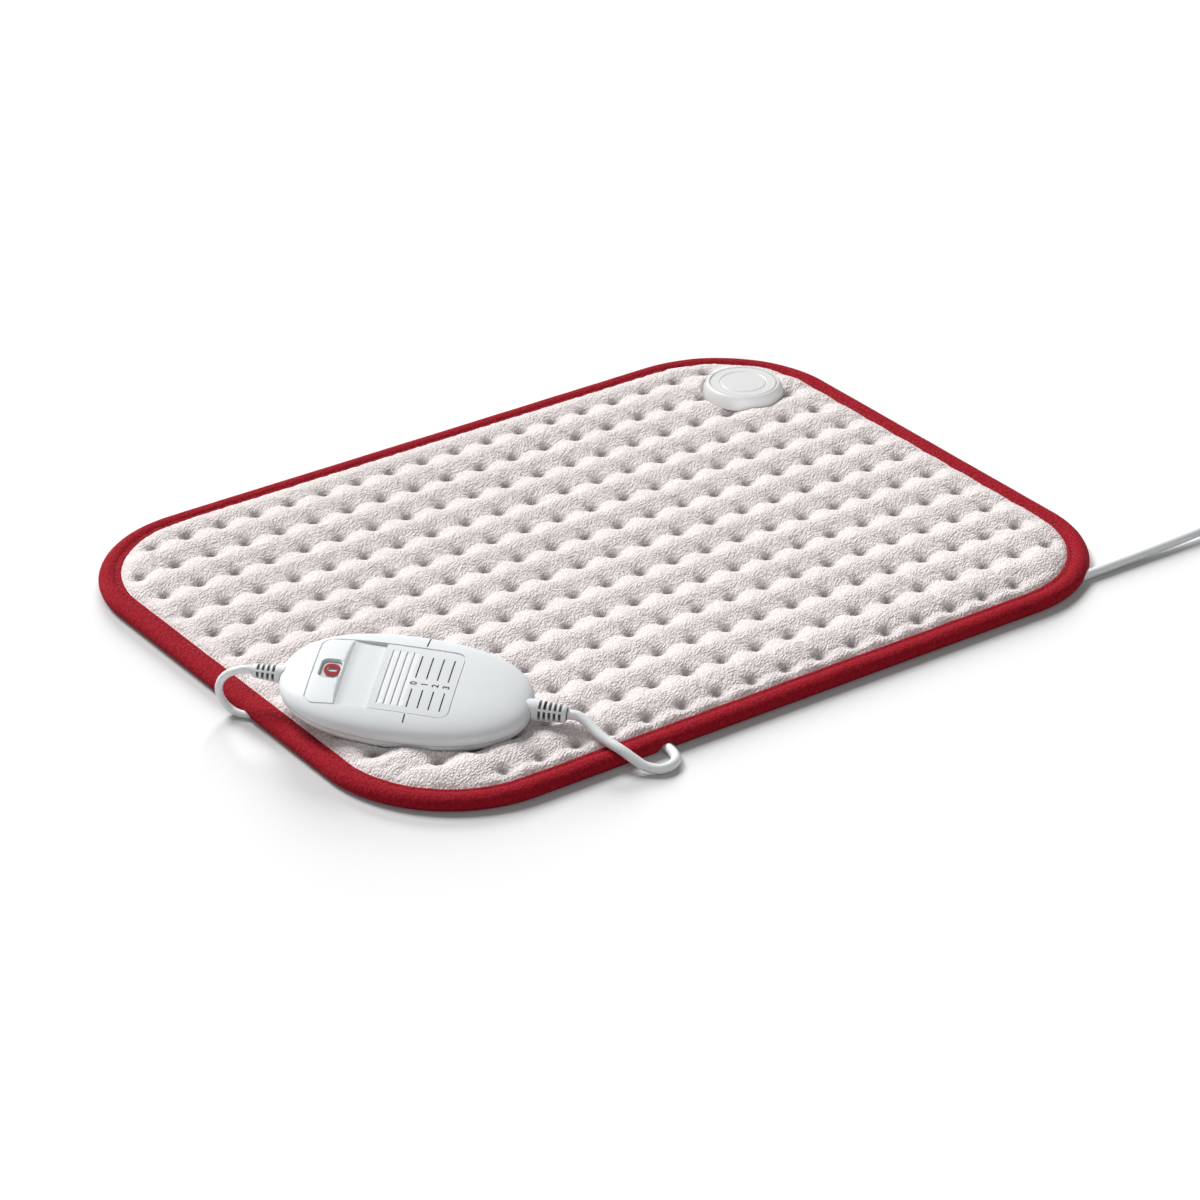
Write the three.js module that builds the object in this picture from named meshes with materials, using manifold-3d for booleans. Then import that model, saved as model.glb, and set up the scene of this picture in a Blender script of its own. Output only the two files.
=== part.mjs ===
// A fleece heating pad with a bound edge, a plug-in coupling, a slide controller and a mains lead.
// Millimetres, +Z up. The origin is the middle of the pad's underside, X runs along its longer side.
import * as THREE from 'three';
import { mergeVertices } from 'three/addons/utils/BufferGeometryUtils.js';
import Module from 'manifold-3d';

const wasm = await Module();
wasm.setup();

// Fits
const FIT = 0.3; // gap where two pieces meet
const PAST = 6; // how far a cutter runs past the face that it cuts

// Pad
const PAD_LENGTH = 440;
const PAD_WIDTH = 330;
const PAD_CORNER = 70;
const BINDING_WIDTH = 11.5;
const BINDING_LEAF = 0.7; // thickness of the binding's upper and lower leaf
const BINDING_LAP = 5; // how far the covers reach into the binding
const BINDING_ROUND_STEPS = 3;
const CORNER_STEPS = 5;
const UNDER_WEB = 0.3; // cloth left above the deeper cord channel
const COVER_EDGE = 0.5; // thickness of the top cover inside the binding

// Quilting of the top cover, measured from the cover's flat lower face
const TUFT_COLUMNS = 20;
const TUFT_ROWS = 13;
const TUFT_PITCH_X = 20.35;
const TUFT_PITCH_Y = 23.8;
const TUFT_RISE = 0.6; // at a tuft
const SADDLE_RISE = 4; // between two tufts of a row
const CREST_RISE = 5.9; // along the ridge between two rows
const SHOULDER_RISE = 4.2; // along the ridge beside the binding
const SHOULDER_INSET = 5.2; // from the binding to that ridge
const BED_CLEAR = 0.8; // room round the controller where it beds into the fleece
const TUFT_CLEAR = 4; // least distance from a tuft to the shoulder ridge

// Heater
const CARRIER_THICKNESS = 0.8;
const WIRE_DIAMETER = 1.8;
const HEATER_LEFT = 33; // distances from the pad's edges to the heater's tray
const HEATER_RIGHT = 71;
const HEATER_SIDE = 41;
const HEATER_CORNER = 20;
const WIRE_PASSES = 10;
const WIRE_INSET = 5; // from the tray's ends to the wire's turns
const WIRE_SIDE = 16.9; // from the tray's sides to the wire's outer passes
const WIRE_RETURN_GAP = 9; // between the wire's right turns and its return run
const TURN_STEPS = 3;
const FUSE_CAPSULE = [9, 3, 1.6];

// Coupling
const COUPLING_FROM_RIGHT = 49.7;
const COUPLING_FROM_FAR = 62.2;
const BASE_RADIUS = 16;
const POST_RADIUS = 9;
const POST_HEIGHT = 3.6; // above the seat of the cap
const CAP_RADIUS = 21.5;
const CAP_TOP_RADIUS = 19.2;
const CAP_HEIGHT = 7.6;
const CAP_WALL = 2.4;
const CAP_SEAT_RISE = 2.9; // where the fleece is pressed flat, above the cover's lower face
const TOP_DISC_RADIUS = 17.6;
const TOP_DISC_THICKNESS = 1.2;
const CLAMP_RADIUS = 15.5;
const CLAMP_THICKNESS = 1.5;
const PIN_RADIUS = 1.2;
const PIN_SPACING = 8.6;
const ROUND_STEPS = 24;

// Controller housing, in its own frame: u along it towards the mains lead, n up from the seam
const CONTROLLER_FROM_LEFT = 55.9;
const CONTROLLER_FROM_FRONT = 86.7;
const CONTROLLER_HEIGHT = 20.9; // of the seam's middle above the floor
const CONTROLLER_YAW = -46.3;
const CONTROLLER_PITCH = 3;
const CONTROLLER_LEAN = 12.5;
const HOUSING_LENGTH = 120;
const HOUSING_WIDTH = 70;
const HOUSING_TOP = 9;
const HOUSING_BOTTOM = 11.5;
const HOUSING_WALL = 1.9;
const PEBBLE_STEPS = 36;
const PEBBLE_RINGS = 14;
const PLAN_POWER = 2.3;
const TOP_POWER = 3;
const BOTTOM_POWER = 2.6;
const LIP_HEIGHT = 1.6;
const LIP_WALL = 1;

// Panel, window and slider of the controller
const PANEL_LEFT = -44.5;
const PANEL_RIGHT = 24;
const PANEL_WIDTH = 45;
const PANEL_CORNER = 5;
const GROOVE_WIDTH = 0.7;
const GROOVE_DEPTH = 0.5;
const WINDOW_U = -36.2;
const WINDOW_LENGTH = 9.4;
const WINDOW_WIDTH = 12.2;
const WINDOW_CORNER = 2.6;
const LENS_SINK = 1.5; // lens face below the window's edge
const LENS_RIM = 0.6;
const SCALE_PITCH = 5.17;
const SCALE_STEPS = 3;
const SLIDER_LENGTH = 37.6;
const SLIDER_FLOOR = 7.1; // floor of the slider's trough on the middle line
const FLOOR_FALL = 0.7; // how much lower the floor is along its sides
const FLOOR_STEPS = 4;
const RAMP_LENGTH = 4.4; // where the floor rises towards the window
const RAMP_RISE = 0.7;
const TROUGH_PLATE = 1.6;
const SLIDER_SINK = 0.25; // slider's face below the housing's
const RIB_COUNT = 4;
const RIB_PITCH = 3.35;
const RIB_GROOVE = 0.75;
const RIB_LENGTH = 37;
const STEM_LENGTH = 5;
const STEM_WIDTH = 6;
const STEM_U = 4.8; // so that the slider covers the slot over its whole travel

// Inside of the controller
const BOARD_THICKNESS = 1.6;
const BOARD_TOP = -0.9;
const BOARD_LEFT = -43;
const BOARD_RIGHT = 34;
const BOARD_WIDTH = 38;
const BOARD_TONGUE_WIDTH = 24;
const BOARD_STEP = -31;
const POST_SIZE = 2.6;
const POST_U = 24;
const POST_W = 14;
const SCREW_U = 38.5;
const SCREW_W = 18;
const SCREW_SHANK = 1.3;
const SCREW_HEAD = 2.8;
const SCREW_HEAD_HEIGHT = 1.8;
const SCREW_LENGTH = 9.5;
const TOWER_WALL = 1.4;
const BRIDGE_SIZE = [11, 13, 1];
const SPRING_WIDTH = 4;
const SPRING_THICKNESS = 0.4;
const TRACK_SIZE = [26, 1.6, 0.3];
const TRACK_W = 4.5;

// Cords and what is on them
const LEAD_DIAMETER = 3.8;
const MAINS_DIAMETER = 4.8;
const PAD_RELIEF = { out: 14, root: 4.3, tip: 3.3, slots: 4, cord: LEAD_DIAMETER };
const MAINS_RELIEF = { out: 16, root: 5.1, tip: 4.1, slots: 5, cord: MAINS_DIAMETER };
const RELIEF_STEPS = 16;
const RELIEF_NECK = 3.2;
const RELIEF_FLANGE = 4.2;
const RELIEF_INSET = 7.2; // from the housing's end to the flange
const RELIEF_FLANGE_THICKNESS = 1.6;
const SLOT_WIDTH = 1.15;
const SLOT_DEPTH = 1.3;
const LEAD_LANE = 18.8; // from the pad's edge to the lead below it
const MAINS_LANE = 15;
const COIL_FROM_RIGHT = 71;
const COIL_MIDDLE = 53; // diameter at the middle of its turns
const COIL_TURNS = 8;
const COIL_GAP = 0.6;
const COIL_DIP = 0.35; // how far the climb dips inwards, in turn pitches
const LOOP_STEPS = 24;
const TIE_WALL = 1.1;
const TIE_LENGTH = 5;
const FLOOR_CLEAR = 0.05;
const TAIL_LENGTH = 20;
const PLUG_AXIS = 7;
const PLUG_LENGTH = 26;
const PLUG_WIDTH = 31;
const PLUG_NOSE = 35;
const PLUG_HEIGHT = 13.6;
const PLUG_EDGE = 2;
const PLUG_PIN_RADIUS = 2;
const PLUG_PIN_LENGTH = 19;
const PLUG_PIN_SPACING = 18.6;
const PLUG_RELIEF_LENGTH = 17;
const PLUG_RELIEF_ROOT = 4.6;
const PLUG_RELIEF_TIP = 3.2;
const PLUG_RELIEF_RINGS = 3;

// Levels and places that follow from the sizes above
const CHANNEL_HEIGHT = MAINS_DIAMETER + FIT;
const UNDER_TOP = CHANNEL_HEIGHT + UNDER_WEB;
const COVER_BASE = UNDER_TOP + FIT;
const COVER_EDGE_TOP = COVER_BASE + COVER_EDGE;
const BINDING_HEIGHT = COVER_EDGE_TOP + FIT + BINDING_LEAF;
const COVER_INSET = BINDING_WIDTH - BINDING_LAP;
const HEATER_FLOOR = COVER_BASE - 3 * FIT - WIRE_DIAMETER - CARRIER_THICKNESS;
const CARRIER_TOP = HEATER_FLOOR + FIT + CARRIER_THICKNESS;
const WIRE_Z = CARRIER_TOP + FIT + WIRE_DIAMETER / 2;
const COUPLING_X = PAD_LENGTH / 2 - COUPLING_FROM_RIGHT;
const COUPLING_Y = PAD_WIDTH / 2 - COUPLING_FROM_FAR;
const CAP_SEAT = COVER_BASE + CAP_SEAT_RISE + FIT;
const COIL_X = PAD_LENGTH / 2 + COIL_FROM_RIGHT;
const COIL_LINE_Y = MAINS_LANE - PAD_WIDTH / 2; // the lead's line, which the coil's outer turn touches
const TRAVEL = SCALE_PITCH * SCALE_STEPS;
const SLIDER_BACK = PANEL_RIGHT - FIT;
const SLIDER_FRONT = SLIDER_BACK - SLIDER_LENGTH;
const SLIDER_BASE = SLIDER_FLOOR + FIT;
const TROUGH_UNDER = SLIDER_FLOOR - FLOOR_FALL - TROUGH_PLATE;
const TROUGH_LEFT = SLIDER_FRONT - TRAVEL - FIT;
const LEAD_FLOOR = LEAD_DIAMETER / 2 + FLOOR_CLEAR;
const MAINS_FLOOR = MAINS_DIAMETER / 2 + FLOOR_CLEAR;

// The controller's frame in the pad's frame
const housingFrame = new THREE.Group();
housingFrame.position.set(
  CONTROLLER_FROM_LEFT - PAD_LENGTH / 2,
  CONTROLLER_FROM_FRONT - PAD_WIDTH / 2,
  CONTROLLER_HEIGHT,
);
housingFrame.rotation.set(
  THREE.MathUtils.degToRad(CONTROLLER_LEAN),
  THREE.MathUtils.degToRad(CONTROLLER_PITCH),
  THREE.MathUtils.degToRad(CONTROLLER_YAW),
  'ZYX',
);
housingFrame.updateMatrixWorld(true);

const heatingPad = new THREE.Group();
heatingPad.add(housingFrame);

const FINISHES = {
  fleece: { color: 0xe9dfdb, roughness: 0.95, metalness: 0 },
  underCloth: { color: 0xe4dad6, roughness: 0.95, metalness: 0 },
  binding: { color: 0xa01826, roughness: 0.85, metalness: 0 },
  carrier: { color: 0xf2efe6, roughness: 0.9, metalness: 0 },
  wire: { color: 0xd9c9a8, roughness: 0.5, metalness: 0 },
  plastic: { color: 0xf1f3f4, roughness: 0.35, metalness: 0 },
  sleeve: { color: 0xe8ebec, roughness: 0.5, metalness: 0 },
  cord: { color: 0xeceff0, roughness: 0.45, metalness: 0 },
  lens: { color: 0xf7f4f0, roughness: 0.15, metalness: 0 },
  board: { color: 0x2f6b45, roughness: 0.5, metalness: 0 },
  part: { color: 0x2b2d30, roughness: 0.5, metalness: 0 },
  brass: { color: 0xc9a45a, roughness: 0.35, metalness: 1 },
  steel: { color: 0xb9bdc2, roughness: 0.35, metalness: 1 },
};

/** Adds a named piece to a group. */
function piece(name, shape, finish, parent = heatingPad) {
  const mesh = new THREE.Mesh(shape, new THREE.MeshStandardMaterial(FINISHES[finish]));
  mesh.name = name;
  parent.add(mesh);
}

/** A solid for joining and cutting, from a closed geometry. */
function solid(geometry) {
  const bare = geometry.index ? geometry.toNonIndexed() : geometry.clone();
  bare.deleteAttribute('normal');
  bare.deleteAttribute('uv');
  const merged = mergeVertices(bare, 1e-4);
  const vertProperties = new Float32Array(merged.attributes.position.array);
  const triVerts = new Uint32Array(merged.index.array);
  if (signedVolume(vertProperties, triVerts) < 0) {
    triVerts.reverse();
  }
  return new wasm.Manifold(new wasm.Mesh({ numProp: 3, vertProperties, triVerts }));
}

/** Volume of a closed mesh, negative when its faces point inwards. */
function signedVolume(positions, triangles) {
  const a = new THREE.Vector3();
  const b = new THREE.Vector3();
  const c = new THREE.Vector3();
  let sum = 0;
  for (let i = 0; i < triangles.length; i += 3) {
    a.fromArray(positions, 3 * triangles[i]);
    b.fromArray(positions, 3 * triangles[i + 1]);
    c.fromArray(positions, 3 * triangles[i + 2]);
    sum += a.dot(b.cross(c)) / 6;
  }
  return sum;
}

/** The geometry of a finished solid. */
function shapeOf(body) {
  const mesh = body.getMesh();
  const geometry = new THREE.BufferGeometry();
  geometry.setAttribute('position', new THREE.BufferAttribute(new Float32Array(mesh.vertProperties), 3));
  geometry.setIndex(new THREE.BufferAttribute(new Uint32Array(mesh.triVerts), 1));
  geometry.computeVertexNormals();
  return geometry;
}

/** A rectangle with round corners, centred at x, y. */
function roundedRectangle(length, width, corner, x = 0, y = 0) {
  const a = length / 2;
  const b = width / 2;
  const shape = new THREE.Shape();
  shape.moveTo(x - a + corner, y - b);
  shape.lineTo(x + a - corner, y - b);
  shape.absarc(x + a - corner, y - b + corner, corner, -Math.PI / 2, 0, false);
  shape.lineTo(x + a, y + b - corner);
  shape.absarc(x + a - corner, y + b - corner, corner, 0, Math.PI / 2, false);
  shape.lineTo(x - a + corner, y + b);
  shape.absarc(x - a + corner, y + b - corner, corner, Math.PI / 2, Math.PI, false);
  shape.lineTo(x - a, y - b + corner);
  shape.absarc(x - a + corner, y - b + corner, corner, Math.PI, Math.PI * 1.5, false);
  return shape;
}

/** A closed outline through corner points. */
function polygon(points) {
  return new THREE.Shape(points.map(([x, y]) => new THREE.Vector2(x, y)));
}

/** An outline raised from one level to another. */
function raised(shape, from, to, curveSegments = CORNER_STEPS) {
  const options = { depth: to - from, bevelEnabled: false, curveSegments };
  return new THREE.ExtrudeGeometry(shape, options).translate(0, 0, from);
}

/** A profile of [u, n] points, drawn across w from one side to the other. */
function across(points, width) {
  const options = { depth: width, bevelEnabled: false };
  const bar = new THREE.ExtrudeGeometry(polygon(points), options);
  return bar.rotateX(Math.PI / 2).translate(0, width / 2, 0);
}

/** A profile of [radius, height] points turned about Z. */
function turned(points, steps = ROUND_STEPS) {
  const profile = points.map(([r, h]) => new THREE.Vector2(r, h));
  return new THREE.LatheGeometry(profile, steps).rotateX(Math.PI / 2);
}

/** A round rod along Z between two levels. */
function rod(radius, from, to, x = 0, y = 0, steps = 20) {
  const bar = new THREE.CylinderGeometry(radius, radius, to - from, steps);
  return bar.rotateX(Math.PI / 2).translate(x, y, (from + to) / 2);
}

/** A box between two corners. */
function block(low, high) {
  const size = high.map((value, i) => value - low[i]);
  const middle = high.map((value, i) => (value + low[i]) / 2);
  return new THREE.BoxGeometry(...size).translate(...middle);
}

/** A path that keeps exactly the points it is given. */
class Route extends THREE.Curve {
  constructor(points) {
    super();
    this.points = points;
  }

  getSpacedPoints() {
    return this.points;
  }

  getTangentAt(share, target = new THREE.Vector3()) {
    const last = this.points.length - 1;
    const i = Math.round(share * last);
    const before = this.points[Math.max(i - 1, 0)];
    const after = this.points[Math.min(i + 1, last)];
    return target.subVectors(after, before).normalize();
  }

  get length() {
    return this.points.slice(1).reduce((sum, point, i) => sum + point.distanceTo(this.points[i]), 0);
  }
}

/** A closed round tube along a route. */
function tube(route, diameter, sides) {
  const ring = [];
  for (let i = 0; i < sides; i += 1) {
    const angle = (2 * Math.PI * (i + 0.5)) / sides;
    ring.push([(diameter / 2) * Math.cos(angle), (diameter / 2) * Math.sin(angle)]);
  }
  const options = { steps: route.points.length - 1, bevelEnabled: false, extrudePath: route };
  return new THREE.ExtrudeGeometry(polygon(ring), options);
}

/** A smooth route through chosen points, with the same number of steps from each to the next. */
function smoothRoute(points, stepsBetween) {
  const curve = new THREE.CatmullRomCurve3(points, false, 'centripetal');
  return new Route(curve.getPoints(stepsBetween * (points.length - 1)));
}

/** A point of the controller in the pad's frame. */
function fromController(u, w, n) {
  return new THREE.Vector3(u, w, n).applyMatrix4(housingFrame.matrixWorld);
}

// Cord routes

/** The lead from the controller over the pad's left edge and below the pad to the coupling. */
function padLeadRoute() {
  const start = HOUSING_LENGTH / 2 + PAD_RELIEF.out + FIT;
  const end = COUPLING_Y + BASE_RADIUS + FIT;
  const z = LEAD_FLOOR;
  const edge = -PAD_LENGTH / 2;
  const level = housingFrame.position.y;
  const lane = edge + LEAD_LANE;
  const far = PAD_WIDTH / 2 - LEAD_LANE;
  const corner = PAD_CORNER - LEAD_LANE;
  const drop = [
    [-0.4, 58.7, 24.2], [-2.6, 60.7, 21.2], [-5, 64.3, 17], [-6.4, 67.1, 12.4],
    [-6.6, 67.7, 8], [-5.4, 65.7, 4.6], [-3.4, 61.7, 2.6], [-1.4, 56.9, z],
    [2.3, 52.4, z], [8.3, 50.5, z], [14.3, 52.4, z], [18.1, 57.4, z],
  ];
  const points = [
    fromController(-start, 0, 0),
    fromController(-start - LEAD_DIAMETER, 0, 0),
    ...drop.map(([x, y, height]) => new THREE.Vector3(edge + x, level + y, height)),
    new THREE.Vector3(lane, level + 66.3, z),
    new THREE.Vector3(lane, level + 118, z),
  ];
  for (let i = 0; i <= 4; i += 1) {
    const angle = Math.PI * (1 - i / 8);
    const x = lane + corner + corner * Math.cos(angle);
    const y = far - corner + corner * Math.sin(angle);
    points.push(new THREE.Vector3(x, y, z));
  }
  const turn = [[-230, 0], [-130, 0], [-34, 0], [-20, -2.6], [-9.3, -9], [-2.3, -16.2]];
  points.push(...turn.map(([x, y]) => new THREE.Vector3(COUPLING_X + x, far + y, z)));
  points.push(new THREE.Vector3(COUPLING_X, end + LEAD_DIAMETER, z), new THREE.Vector3(COUPLING_X, end, z));
  return smoothRoute(points, 2);
}

/** The mains lead from the controller over the front edge, below the pad and out to the coil. */
function mainsLeadRoute() {
  const start = HOUSING_LENGTH / 2 + MAINS_RELIEF.out + FIT;
  const z = MAINS_FLOOR;
  const level = housingFrame.position.x;
  const edge = -PAD_WIDTH / 2;
  const drop = [
    [57.5, 23.4, 15.2], [58.2, 17, 13], [59.3, 9.6, 10.9], [61.5, 1.6, 9.3],
    [64.3, -4.2, 6.4], [67.5, -9.2, 3.6], [72.7, -13.6, z], [79, -13.8, z],
    [84.3, -10.2, z], [86.5, -4.6, z], [87.5, 3.4, z], [91.1, 10.6, z], [99.1, 14.6, z],
    [112, MAINS_LANE, z],
  ];
  const run = [[-180, z], [-90, z], [-6, z], [30, z + 0.6], [56, coilBase()]];
  const points = [
    fromController(start, 0, 0),
    fromController(start + MAINS_DIAMETER, 0, 0),
    ...drop.map(([x, y, height]) => new THREE.Vector3(level + x, edge + y, height)),
    ...run.map(([x, height]) => new THREE.Vector3(PAD_LENGTH / 2 + x, COIL_LINE_Y, height)),
    new THREE.Vector3(COIL_X - MAINS_DIAMETER - FIT, COIL_LINE_Y, coilBase()),
  ];
  return smoothRoute(points, 2);
}

/** Height of the coil's lower layer, above the tie's lower wall. */
function coilBase() {
  return FLOOR_CLEAR + TIE_WALL + FIT + MAINS_DIAMETER / 2;
}

/** Two layers of turns: spiralling in, climbing in half a turn, and spiralling out again. */
function coilRoute() {
  const pitch = MAINS_DIAMETER + COIL_GAP;
  const wound = (COIL_TURNS - 0.5) / 2;
  const outer = COIL_MIDDLE / 2 + (wound * pitch) / 2;
  const centreY = COIL_LINE_Y - outer;
  const points = [new THREE.Vector3(COIL_X - MAINS_DIAMETER, COIL_LINE_Y, coilBase())];
  const count = COIL_TURNS * LOOP_STEPS;
  for (let i = 0; i <= count; i += 1) {
    const turn = i / LOOP_STEPS;
    const climb = THREE.MathUtils.clamp((turn - wound) / 0.5, 0, 1);
    const inwards = Math.min(turn, wound) - Math.max(turn - wound - 0.5, 0);
    const radius = outer - pitch * (inwards + COIL_DIP * Math.sin(Math.PI * climb));
    const angle = Math.PI / 2 - 2 * Math.PI * turn;
    const z = coilBase() + pitch * climb;
    points.push(new THREE.Vector3(
      COIL_X + radius * Math.cos(angle),
      centreY + radius * Math.sin(angle),
      z,
    ));
  }
  points.push(new THREE.Vector3(COIL_X + MAINS_DIAMETER, COIL_LINE_Y, coilBase() + pitch));
  return new Route(points);
}

/** Least distance between the turns of a wound tube, surface to surface. */
function leastGap(route, diameter, apart) {
  let least = Infinity;
  for (let i = 0; i < route.points.length; i += 1) {
    for (let j = i + apart; j < route.points.length; j += 1) {
      least = Math.min(least, route.points[i].distanceTo(route.points[j]));
    }
  }
  return least - diameter;
}

/** The channel that a cord on the floor leaves in the pad's underside. */
function cordChannel(route, diameter) {
  const level = diameter / 2 + FLOOR_CLEAR + 1;
  const flat = route.points.filter((point) => point.z < level);
  const half = diameter / 2 + FIT;
  const left = [];
  const right = [];
  flat.forEach((point, i) => {
    const before = flat[Math.max(i - 1, 0)];
    const after = flat[Math.min(i + 1, flat.length - 1)];
    const run = Math.hypot(after.x - before.x, after.y - before.y);
    const sideX = (-(after.y - before.y) / run) * half;
    const sideY = ((after.x - before.x) / run) * half;
    left.push([point.x + sideX, point.y + sideY]);
    right.unshift([point.x - sideX, point.y - sideY]);
  });
  return solid(raised(polygon([...left, ...right]), -PAST, diameter + FLOOR_CLEAR + FIT));
}

const padLead = padLeadRoute();
const mainsLead = mainsLeadRoute();
const coil = coilRoute();
const channels = cordChannel(padLead, LEAD_DIAMETER).add(cordChannel(mainsLead, MAINS_DIAMETER));

// Pad

/** The pad's outline, drawn in by an inset. */
function padOutline(inset) {
  return roundedRectangle(PAD_LENGTH - 2 * inset, PAD_WIDTH - 2 * inset, PAD_CORNER - inset);
}

/** Half the pad's length at a given y, drawn in by an inset. */
function halfSpan(inset, y) {
  const halfLength = PAD_LENGTH / 2 - inset;
  const corner = PAD_CORNER - inset;
  const over = Math.abs(y) - (PAD_WIDTH / 2 - inset - corner);
  if (over <= 0) {
    return halfLength;
  }
  return halfLength - corner + Math.sqrt(Math.max(corner * corner - over * over, 0));
}

/** Binding: a full-round strip with a slot all round for the covers' edges. */
function edgeBinding() {
  const round = BINDING_HEIGHT / 2 - FIT / 2;
  const strip = new THREE.ExtrudeGeometry(padOutline(round), {
    depth: FIT,
    bevelEnabled: true,
    bevelThickness: round,
    bevelSize: round,
    bevelSegments: BINDING_ROUND_STEPS,
    curveSegments: CORNER_STEPS,
  }).translate(0, 0, round);
  const opening = raised(padOutline(BINDING_WIDTH), -PAST, BINDING_HEIGHT + PAST);
  const slot = raised(padOutline(COVER_INSET - FIT), BINDING_LEAF, BINDING_HEIGHT - BINDING_LEAF);
  return solid(strip).subtract(solid(opening)).subtract(solid(slot)).subtract(channels);
}

/** Under cover: flat below, with a tray for the heater, the coupling's hole and the cord channels. */
function bottomCover() {
  const body = raised(padOutline(BINDING_WIDTH + FIT), 0, UNDER_TOP);
  const tongue = raised(padOutline(COVER_INSET), BINDING_LEAF + FIT, UNDER_TOP);
  const tray = raised(heaterOutline(0), HEATER_FLOOR, UNDER_TOP + PAST);
  const hole = rod(BASE_RADIUS + FIT, -PAST, UNDER_TOP + PAST, COUPLING_X, COUPLING_Y, ROUND_STEPS);
  const gate = block(
    [PAD_LENGTH / 2 - HEATER_RIGHT - PAST, COUPLING_Y - PIN_SPACING, HEATER_FLOOR],
    [COUPLING_X, COUPLING_Y + PIN_SPACING, UNDER_TOP + PAST],
  );
  const cuts = solid(tray).add(solid(hole)).add(solid(gate)).add(channels);
  return solid(body).add(solid(tongue)).subtract(cuts);
}

/** Outline of the heater's tray, drawn in by a clearance. */
function heaterOutline(clearance) {
  const length = PAD_LENGTH - HEATER_LEFT - HEATER_RIGHT;
  const width = PAD_WIDTH - 2 * HEATER_SIDE;
  const x = (HEATER_LEFT - HEATER_RIGHT) / 2;
  const corner = HEATER_CORNER - clearance;
  return roundedRectangle(length - 2 * clearance, width - 2 * clearance, corner, x, 0);
}

/** The heating wire: passes between the tuft rows, with both ends at the coupling. */
function wireRoute() {
  const first = COUPLING_Y + PIN_SPACING / 2;
  const last = HEATER_SIDE + WIRE_SIDE - PAD_WIDTH / 2;
  const pitch = (first - last) / (WIRE_PASSES - 1);
  const turn = pitch / 2;
  const left = -PAD_LENGTH / 2 + HEATER_LEFT + WIRE_INSET + turn;
  const returnX = PAD_LENGTH / 2 - HEATER_RIGHT - WIRE_INSET;
  const right = returnX - WIRE_RETURN_GAP - turn;
  const end = COUPLING_X - BASE_RADIUS - 2 * FIT;
  const points = [[end, first]];
  for (let pass = 0; pass < WIRE_PASSES - 1; pass += 1) {
    const leftwards = pass % 2 === 0;
    const x = leftwards ? left : right;
    const side = leftwards ? -1 : 1;
    const middle = first - turn - pass * pitch;
    for (let i = 0; i <= TURN_STEPS; i += 1) {
      const angle = Math.PI / 2 - (Math.PI * i) / TURN_STEPS;
      points.push([x + side * turn * Math.cos(angle), middle + turn * Math.sin(angle)]);
    }
  }
  const finish = COUPLING_Y - PIN_SPACING / 2;
  const bend = WIRE_RETURN_GAP / 2;
  points.push([returnX - bend, last], [returnX, last + bend]);
  points.push([returnX, finish - bend], [returnX + bend, finish], [end, finish]);
  return new Route(points.map(([x, y]) => new THREE.Vector3(x, y, WIRE_Z)));
}

/** Points of the quilted face along one line of constant y, from left to right. */
function quiltLine(y, kind) {
  const seamInset = BINDING_WIDTH + 2 * FIT;
  const edge = [[halfSpan(COVER_INSET + FIT, y), COVER_EDGE]];
  if (kind !== 'edge') {
    edge.push([halfSpan(seamInset, y), COVER_EDGE]);
  }
  const inner = [];
  if (kind === 'shoulder' || kind === 'row' || kind === 'crest') {
    const shoulder = halfSpan(seamInset + SHOULDER_INSET, y);
    edge.push([shoulder, kind === 'row' ? SADDLE_RISE : SHOULDER_RISE]);
    for (let i = 0; i < 2 * TUFT_COLUMNS - 1; i += 1) {
      const x = ((i - (TUFT_COLUMNS - 1)) * TUFT_PITCH_X) / 2;
      const onTuft = i % 2 === 0;
      if (Math.abs(x) < shoulder - TUFT_CLEAR && (onTuft || kind === 'row')) {
        inner.push([x, quiltRise(kind, onTuft)]);
      }
    }
  }
  const mirrored = edge.map(([x, rise]) => [-x, rise]);
  const line = [...mirrored, ...inner, ...edge.toReversed()];
  const points = line.map(([x, rise]) => new THREE.Vector3(x, y, COVER_BASE + rise));
  return { points, rings: edge.length };
}

/** Height of the quilted face at a point inside the shoulder ridge. */
function quiltRise(kind, onTuft) {
  if (kind === 'row') {
    return onTuft ? TUFT_RISE : SADDLE_RISE;
  }
  return kind === 'crest' ? CREST_RISE : SHOULDER_RISE;
}

/** All lines of the quilted face, from the front edge to the far one. */
function quiltLines() {
  const outer = PAD_WIDTH / 2 - COVER_INSET - FIT;
  const seam = PAD_WIDTH / 2 - BINDING_WIDTH - 2 * FIT;
  const shoulder = seam - SHOULDER_INSET;
  const lines = [];
  for (const side of [-1, 1]) {
    lines.push([side * outer, 'edge'], [side * seam, 'seam'], [side * shoulder, 'shoulder']);
  }
  for (let j = 0; j < 2 * TUFT_ROWS - 1; j += 1) {
    const y = ((j - (TUFT_ROWS - 1)) * TUFT_PITCH_Y) / 2;
    if (Math.abs(y) < shoulder - TUFT_CLEAR) {
      lines.push([y, j % 2 === 0 ? 'row' : 'crest']);
    }
  }
  lines.sort((a, b) => a[0] - b[0]);
  return lines.map(([y, kind]) => quiltLine(y, kind));
}

/** Triangles between two neighbouring lines: bands that follow the edge, and the field between them. */
function joinLines(front, back, triangles) {
  const rings = Math.min(front.rings, back.rings);
  const [a, b] = [front.points, back.points];
  for (let ring = 0; ring < rings - 1; ring += 1) {
    const [i, j] = [a.length - 1 - ring, b.length - 1 - ring];
    quad(a[ring], a[ring + 1], b[ring + 1], b[ring], triangles);
    quad(a[i - 1], a[i], b[j], b[j - 1], triangles);
  }
  zip(a.slice(rings - 1, a.length - rings + 1), b.slice(rings - 1, b.length - rings + 1), triangles);
}

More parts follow.
